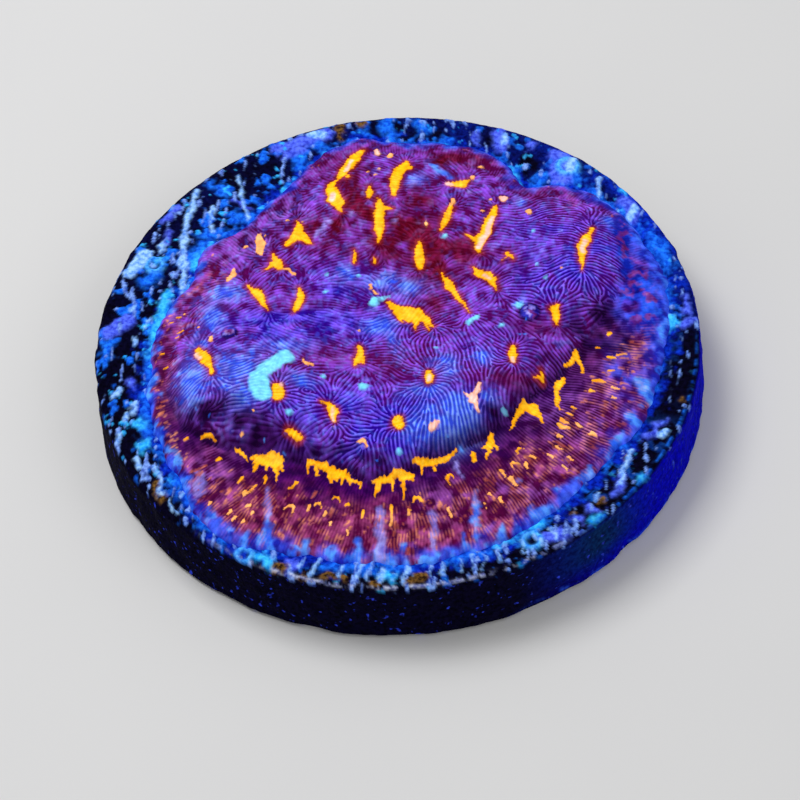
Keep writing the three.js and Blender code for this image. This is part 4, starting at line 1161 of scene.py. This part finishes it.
def disc_masks(x, y, z, angle):
    """Where each kind of crust and each colour of the wall lies, from 0 to 1 at each vertex."""
    degrees = np.degrees(angle) % 360
    edge = edge_distance(x, y)
    rough, fine = noise("rough", x, y), noise("crust", x, y)
    bars = [(turn, BAR_INNER, turn + BAR_TURN, BAR_OUTER, half_width) for turn, half_width in FRONT_BARS]
    top = {}
    for name, spots in {**CRUSTS, "bar": bars}.items():
        soft = CRUST_SOFTNESS[name]
        near = from_bars(x + CRUST_RAGGED * rough, y + CRUST_RAGGED * rough, spots)
        top[name] = smoothstep(near + CRUST_WAVER * soft * fine, soft, -soft)
    raise_to(top, "pale", BAR_STRENGTH * top.pop("bar"))

    glow = around("glow", degrees) * noise("disc glow", x, y)
    top["deep"] = np.clip(np.maximum(glow, fade("halo", HALO_ROUGH * rough - edge)), 0, 1)
    strewn = around("blobs", degrees)
    raise_to(top, "cyan", strewn * fade("cyan blobs", noise("cyan blobs", x, y)))
    raise_to(top, "azure", strewn * fade("azure blobs", noise("azure blobs", x, y)))
    near_edge = fade("near edge", BLOBS_FINE * fine - edge) * fade("rough", rough)
    raise_to(top, "azure", near_edge * fade("strewn", strewn))
    # Painted highlights: a pale line along the rounded front rim, and a blue glint on it at the right.
    rim = bell(np.hypot(x, y), *LINES["rim"]) * fade("rim", fine + RIM_ROUGH * rough)
    raise_to(top, "azure", rim * around("glint", degrees))
    top["rim"] = rim * around("rim", degrees)
    dashes = noise("dashes", x - DRAG_LEAN * y, DRAG_STRETCH * y) + noise("dash grit", x, y)
    dashes = dashes + fade("drag left", -np.cos(angle)) + fade("drag front", -np.sin(angle))
    top["drag"] = fade("drag", dashes)
    top["coil"] = np.zeros(x.shape)
    for turn, radius, size in WORM_COILS:
        coil_x, coil_y = polar(radius, math.radians(turn))
        raise_to(top, "coil", bell(np.hypot(x - coil_x, y - coil_y) / size, *LINES["coil"]))

    # Painted highlight along the wall's lower edge, at the front right.
    line = bell(z, *LINES["wall edge highlight"]) * fade("wall edge highlight", noise("wall edge highlight", degrees, z))
    wall = {
        "wall": np.ones(x.shape), "wall_edge_highlight": line * around("wall edge highlight", degrees),
        # Painted blue light on the wall's right side.
        "painted_wall_light": fade("painted wall light", np.cos(angle + WALL_LIGHT_TURN)) * fade("above foot", z),
        "wall_teal": bell(angle, *LINES["teal"]) * fade("teal", z),
    }
    on_top = fade("top", z - DISC_TOP)
    masks = {name: share * on_top for name, share in top.items()}
    masks.update({name: share * (1 - on_top) for name, share in wall.items()})
    return masks


def build_disc(material):
    rows = disc_rows()
    angle = np.linspace(-math.pi, math.pi, DISC_SECTORS, endpoint=False)
    radius, turn = np.meshgrid(rows[:, 0], angle, indexing="ij")
    height = np.repeat(rows[:, 1][:, None], DISC_SECTORS, axis=1)
    x, y = radius * np.cos(turn), radius * np.sin(turn)
    masks = disc_masks(x, y, height, turn)
    on_top = fade("lifted top", height - DISC_TOP)
    crust = np.maximum.reduce([masks[name] for name in CRUSTS])
    lift = DRAG_LIFT * masks["drag"] + CRUST_LIFT * crust + COIL_LIFT * masks["coil"]
    lift = lift + noise("grit", x, y) - DISC_SINK * on_top
    height = height + lift * on_top * fade("inner", radius - DISC_INNER)
    wear = noise("wear", turn * WEAR_TURN, height)
    for chip_degrees, width in CHIPS:
        wear = wear - CHIP_DEPTH * bell(turn, math.radians(chip_degrees), width) * fade("chip", height)
    bulge = 1 + wear * fade("free", height) * (1 - on_top) / DISC_RADIUS

    index = np.arange(height.size).reshape(height.shape)
    triangles = [fan(height.size, index[0]), fan(height.size + 1, index[-1])[:, ::-1]]
    for upper, lower in zip(index, index[1:]):
        triangles += band(upper, lower)
    places = np.stack([(x * bulge).ravel(), (y * bulge).ravel(), height.ravel()], 1)
    places = np.concatenate([places, [[0, 0, DISC_TOP - DISC_SINK], [0, 0, 0]]])
    fields = {name: np.concatenate([v.ravel(), [0, 0]]) for name, v in masks.items()}
    return mesh_object("disc", places, np.concatenate(triangles), fields, material)


class Shader:
    """A material's node tree around one Principled shader."""

    def __init__(self, name, roughness, specular, glow):
        self.material = bpy.data.materials.new(name)
        self.material.use_nodes = True
        self.tree = self.material.node_tree
        self.surface = self.tree.nodes["Principled BSDF"].inputs
        self.surface["Roughness"].default_value = roughness
        self.surface["Specular IOR Level"].default_value = specular
        self.surface["Emission Strength"].default_value = glow
        self.place = self.node("TexCoord", "Object", {})

    def node(self, kind, output, values, **settings):
        """Adds a node, gives its inputs their values and returns one of its outputs."""
        made = self.tree.nodes.new("ShaderNode" + kind)
        for key, value in settings.items():
            setattr(made, key, value)
        for key, value in values.items():
            self.link(value, made.inputs[key])
        return made.outputs[output]

    def link(self, value, socket):
        """Sets a socket to a number or colour, or joins it to another socket."""
        if isinstance(value, bpy.types.NodeSocket):
            self.tree.links.new(value, socket)
        elif isinstance(value, tuple):
            socket.default_value = (*value, 1.0)
        else:
            socket.default_value = value

    def attribute(self, name):
        return self.node("Attribute", "Fac", {}, attribute_name=name)

    def mix(self, share, low, high, blend="MIX"):
        values = {"Factor": share, MIX_LOW: low, MIX_HIGH: high}
        return self.node("Mix", MIX_RESULT, values, data_type="RGBA", blend_type=blend)

    def noise(self, size, detail=3.0):
        values = {"Vector": self.place, "Scale": 1 / (size * MM), "Detail": detail}
        return self.node("TexNoise", "Fac", values)

    def ramp(self, value, low, high, to_low=0.0, to_high=1.0):
        ends = {"From Min": low, "From Max": high, "To Min": to_low, "To Max": to_high}
        return self.node("MapRange", "Result", {"Value": value, **ends})

    def layered(self, pattern, ground, layers):
        """A colour of two tones by pattern, with each layer's two tones laid over it by its attribute."""
        colour = self.mix(pattern, *ground)
        for name, low, high in layers:
            colour = self.mix(self.attribute(name), colour, self.mix(pattern, low, high))
        return colour

    def finish(self, colour, bump_height, bump_depth, rough_low, rough_high):
        self.link(colour, self.surface["Base Color"])
        self.link(colour, self.surface["Emission Color"])
        self.link(self.ramp(bump_height, *NOISE_RANGE, rough_low, rough_high), self.surface["Roughness"])
        bump = {"Strength": BUMP_STRENGTH, "Distance": bump_depth * MM, "Height": bump_height}
        self.link(self.node("Bump", "Normal", bump), self.surface["Normal"])
        return self.material


def tissue_material():
    shader = Shader("coral_tissue", roughness=0.5, specular=0.015, glow=0.4)
    pattern = shader.ramp(shader.attribute("pattern"), *PATTERN_RANGE)
    colour = shader.layered(pattern, COLONY_GROUND, COLONY_LAYERS)
    mottle = shader.ramp(shader.noise(size=0.5), *NOISE_RANGE, *MOTTLE)
    colour = shader.mix(1.0, colour, mottle, "MULTIPLY")
    return shader.finish(colour, shader.noise(size=0.12), bump_depth=0.03, rough_low=0.42, rough_high=0.62)


def ceramic_material():
    shader = Shader("disc_ceramic", roughness=0.7, specular=0.012, glow=0.38)
    grain_and_sheen = shader.ramp(shader.noise(size=0.35, detail=5.0), *GRAIN_RANGE)
    colour = shader.layered(grain_and_sheen, DISC_GROUND, DISC_LAYERS)
    speck = shader.ramp(shader.noise(size=0.5, detail=1.0), *SPECK_RANGE, 0.0, shader.attribute("wall"))
    colour = shader.mix(speck, colour, shader.mix(grain_and_sheen, *WALL_SPECKS))
    bump = shader.noise(size=0.2, detail=5.0)
    return shader.finish(colour, bump, bump_depth=0.08, rough_low=0.6, rough_high=0.9)


def floor_material():
    shader = Shader("studio_floor", roughness=0.6, specular=0.2, glow=0.0)
    shader.link(shader.mix(shader.noise(size=40.0), *FLOOR_TONES), shader.surface["Base Color"])
    return shader.material


def build_stage():
    mesh = bpy.data.meshes.new("floor")
    corners = [(FLOOR_HALF * x, FLOOR_HALF * y, 0) for x, y in ((-1, -1), (1, -1), (1, 1), (-1, 1))]
    mesh.from_pydata(corners, [], [(0, 1, 2, 3)])
    mesh.materials.append(floor_material())
    floor = add_object("floor", mesh)


def build_lights():
    world = bpy.data.worlds.new("studio")
    world.use_nodes = True
    sky = world.node_tree.nodes["Background"].inputs
    sky["Color"].default_value = (1, 1, 1, 1)
    sky["Strength"].default_value = SKY_STRENGTH
    bpy.context.scene.world = world
    for name, (place, size, power) in LIGHTS.items():
        light = bpy.data.lights.new(name, "AREA")
        light.size = size
        light.energy = power
        lamp = add_object(name, light)
        lamp.location = place
        lamp.rotation_euler = (-Vector(place)).to_track_quat("-Z", "Y").to_euler()


def build_camera():
    data = bpy.data.cameras.new("camera")
    data.lens = CAMERA_LENS
    data.sensor_width = CAMERA_SENSOR
    data.clip_start = CAMERA_CLIP
    turn = Matrix.Rotation(math.pi / 2 - CAMERA_ELEVATION, 4, "X") @ Matrix.Rotation(CAMERA_ROLL, 4, "Z")
    place = Vector(CAMERA_TARGET) + turn @ Vector((0, 0, CAMERA_DISTANCE))
    camera = add_object("camera", data)
    camera.matrix_world = Matrix.Translation(place * MM) @ turn
    bpy.context.scene.camera = camera


def main():
    build_camera()
    build_lights()
    build_stage()
    bpy.context.scene.view_settings.view_transform = "Standard"

    coral = build_colony(tissue_material())
    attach(coral, "root")
    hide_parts("coral_colony")

    disc = build_disc(ceramic_material())
    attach(disc, "root")
    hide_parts("frag_disc")


main()
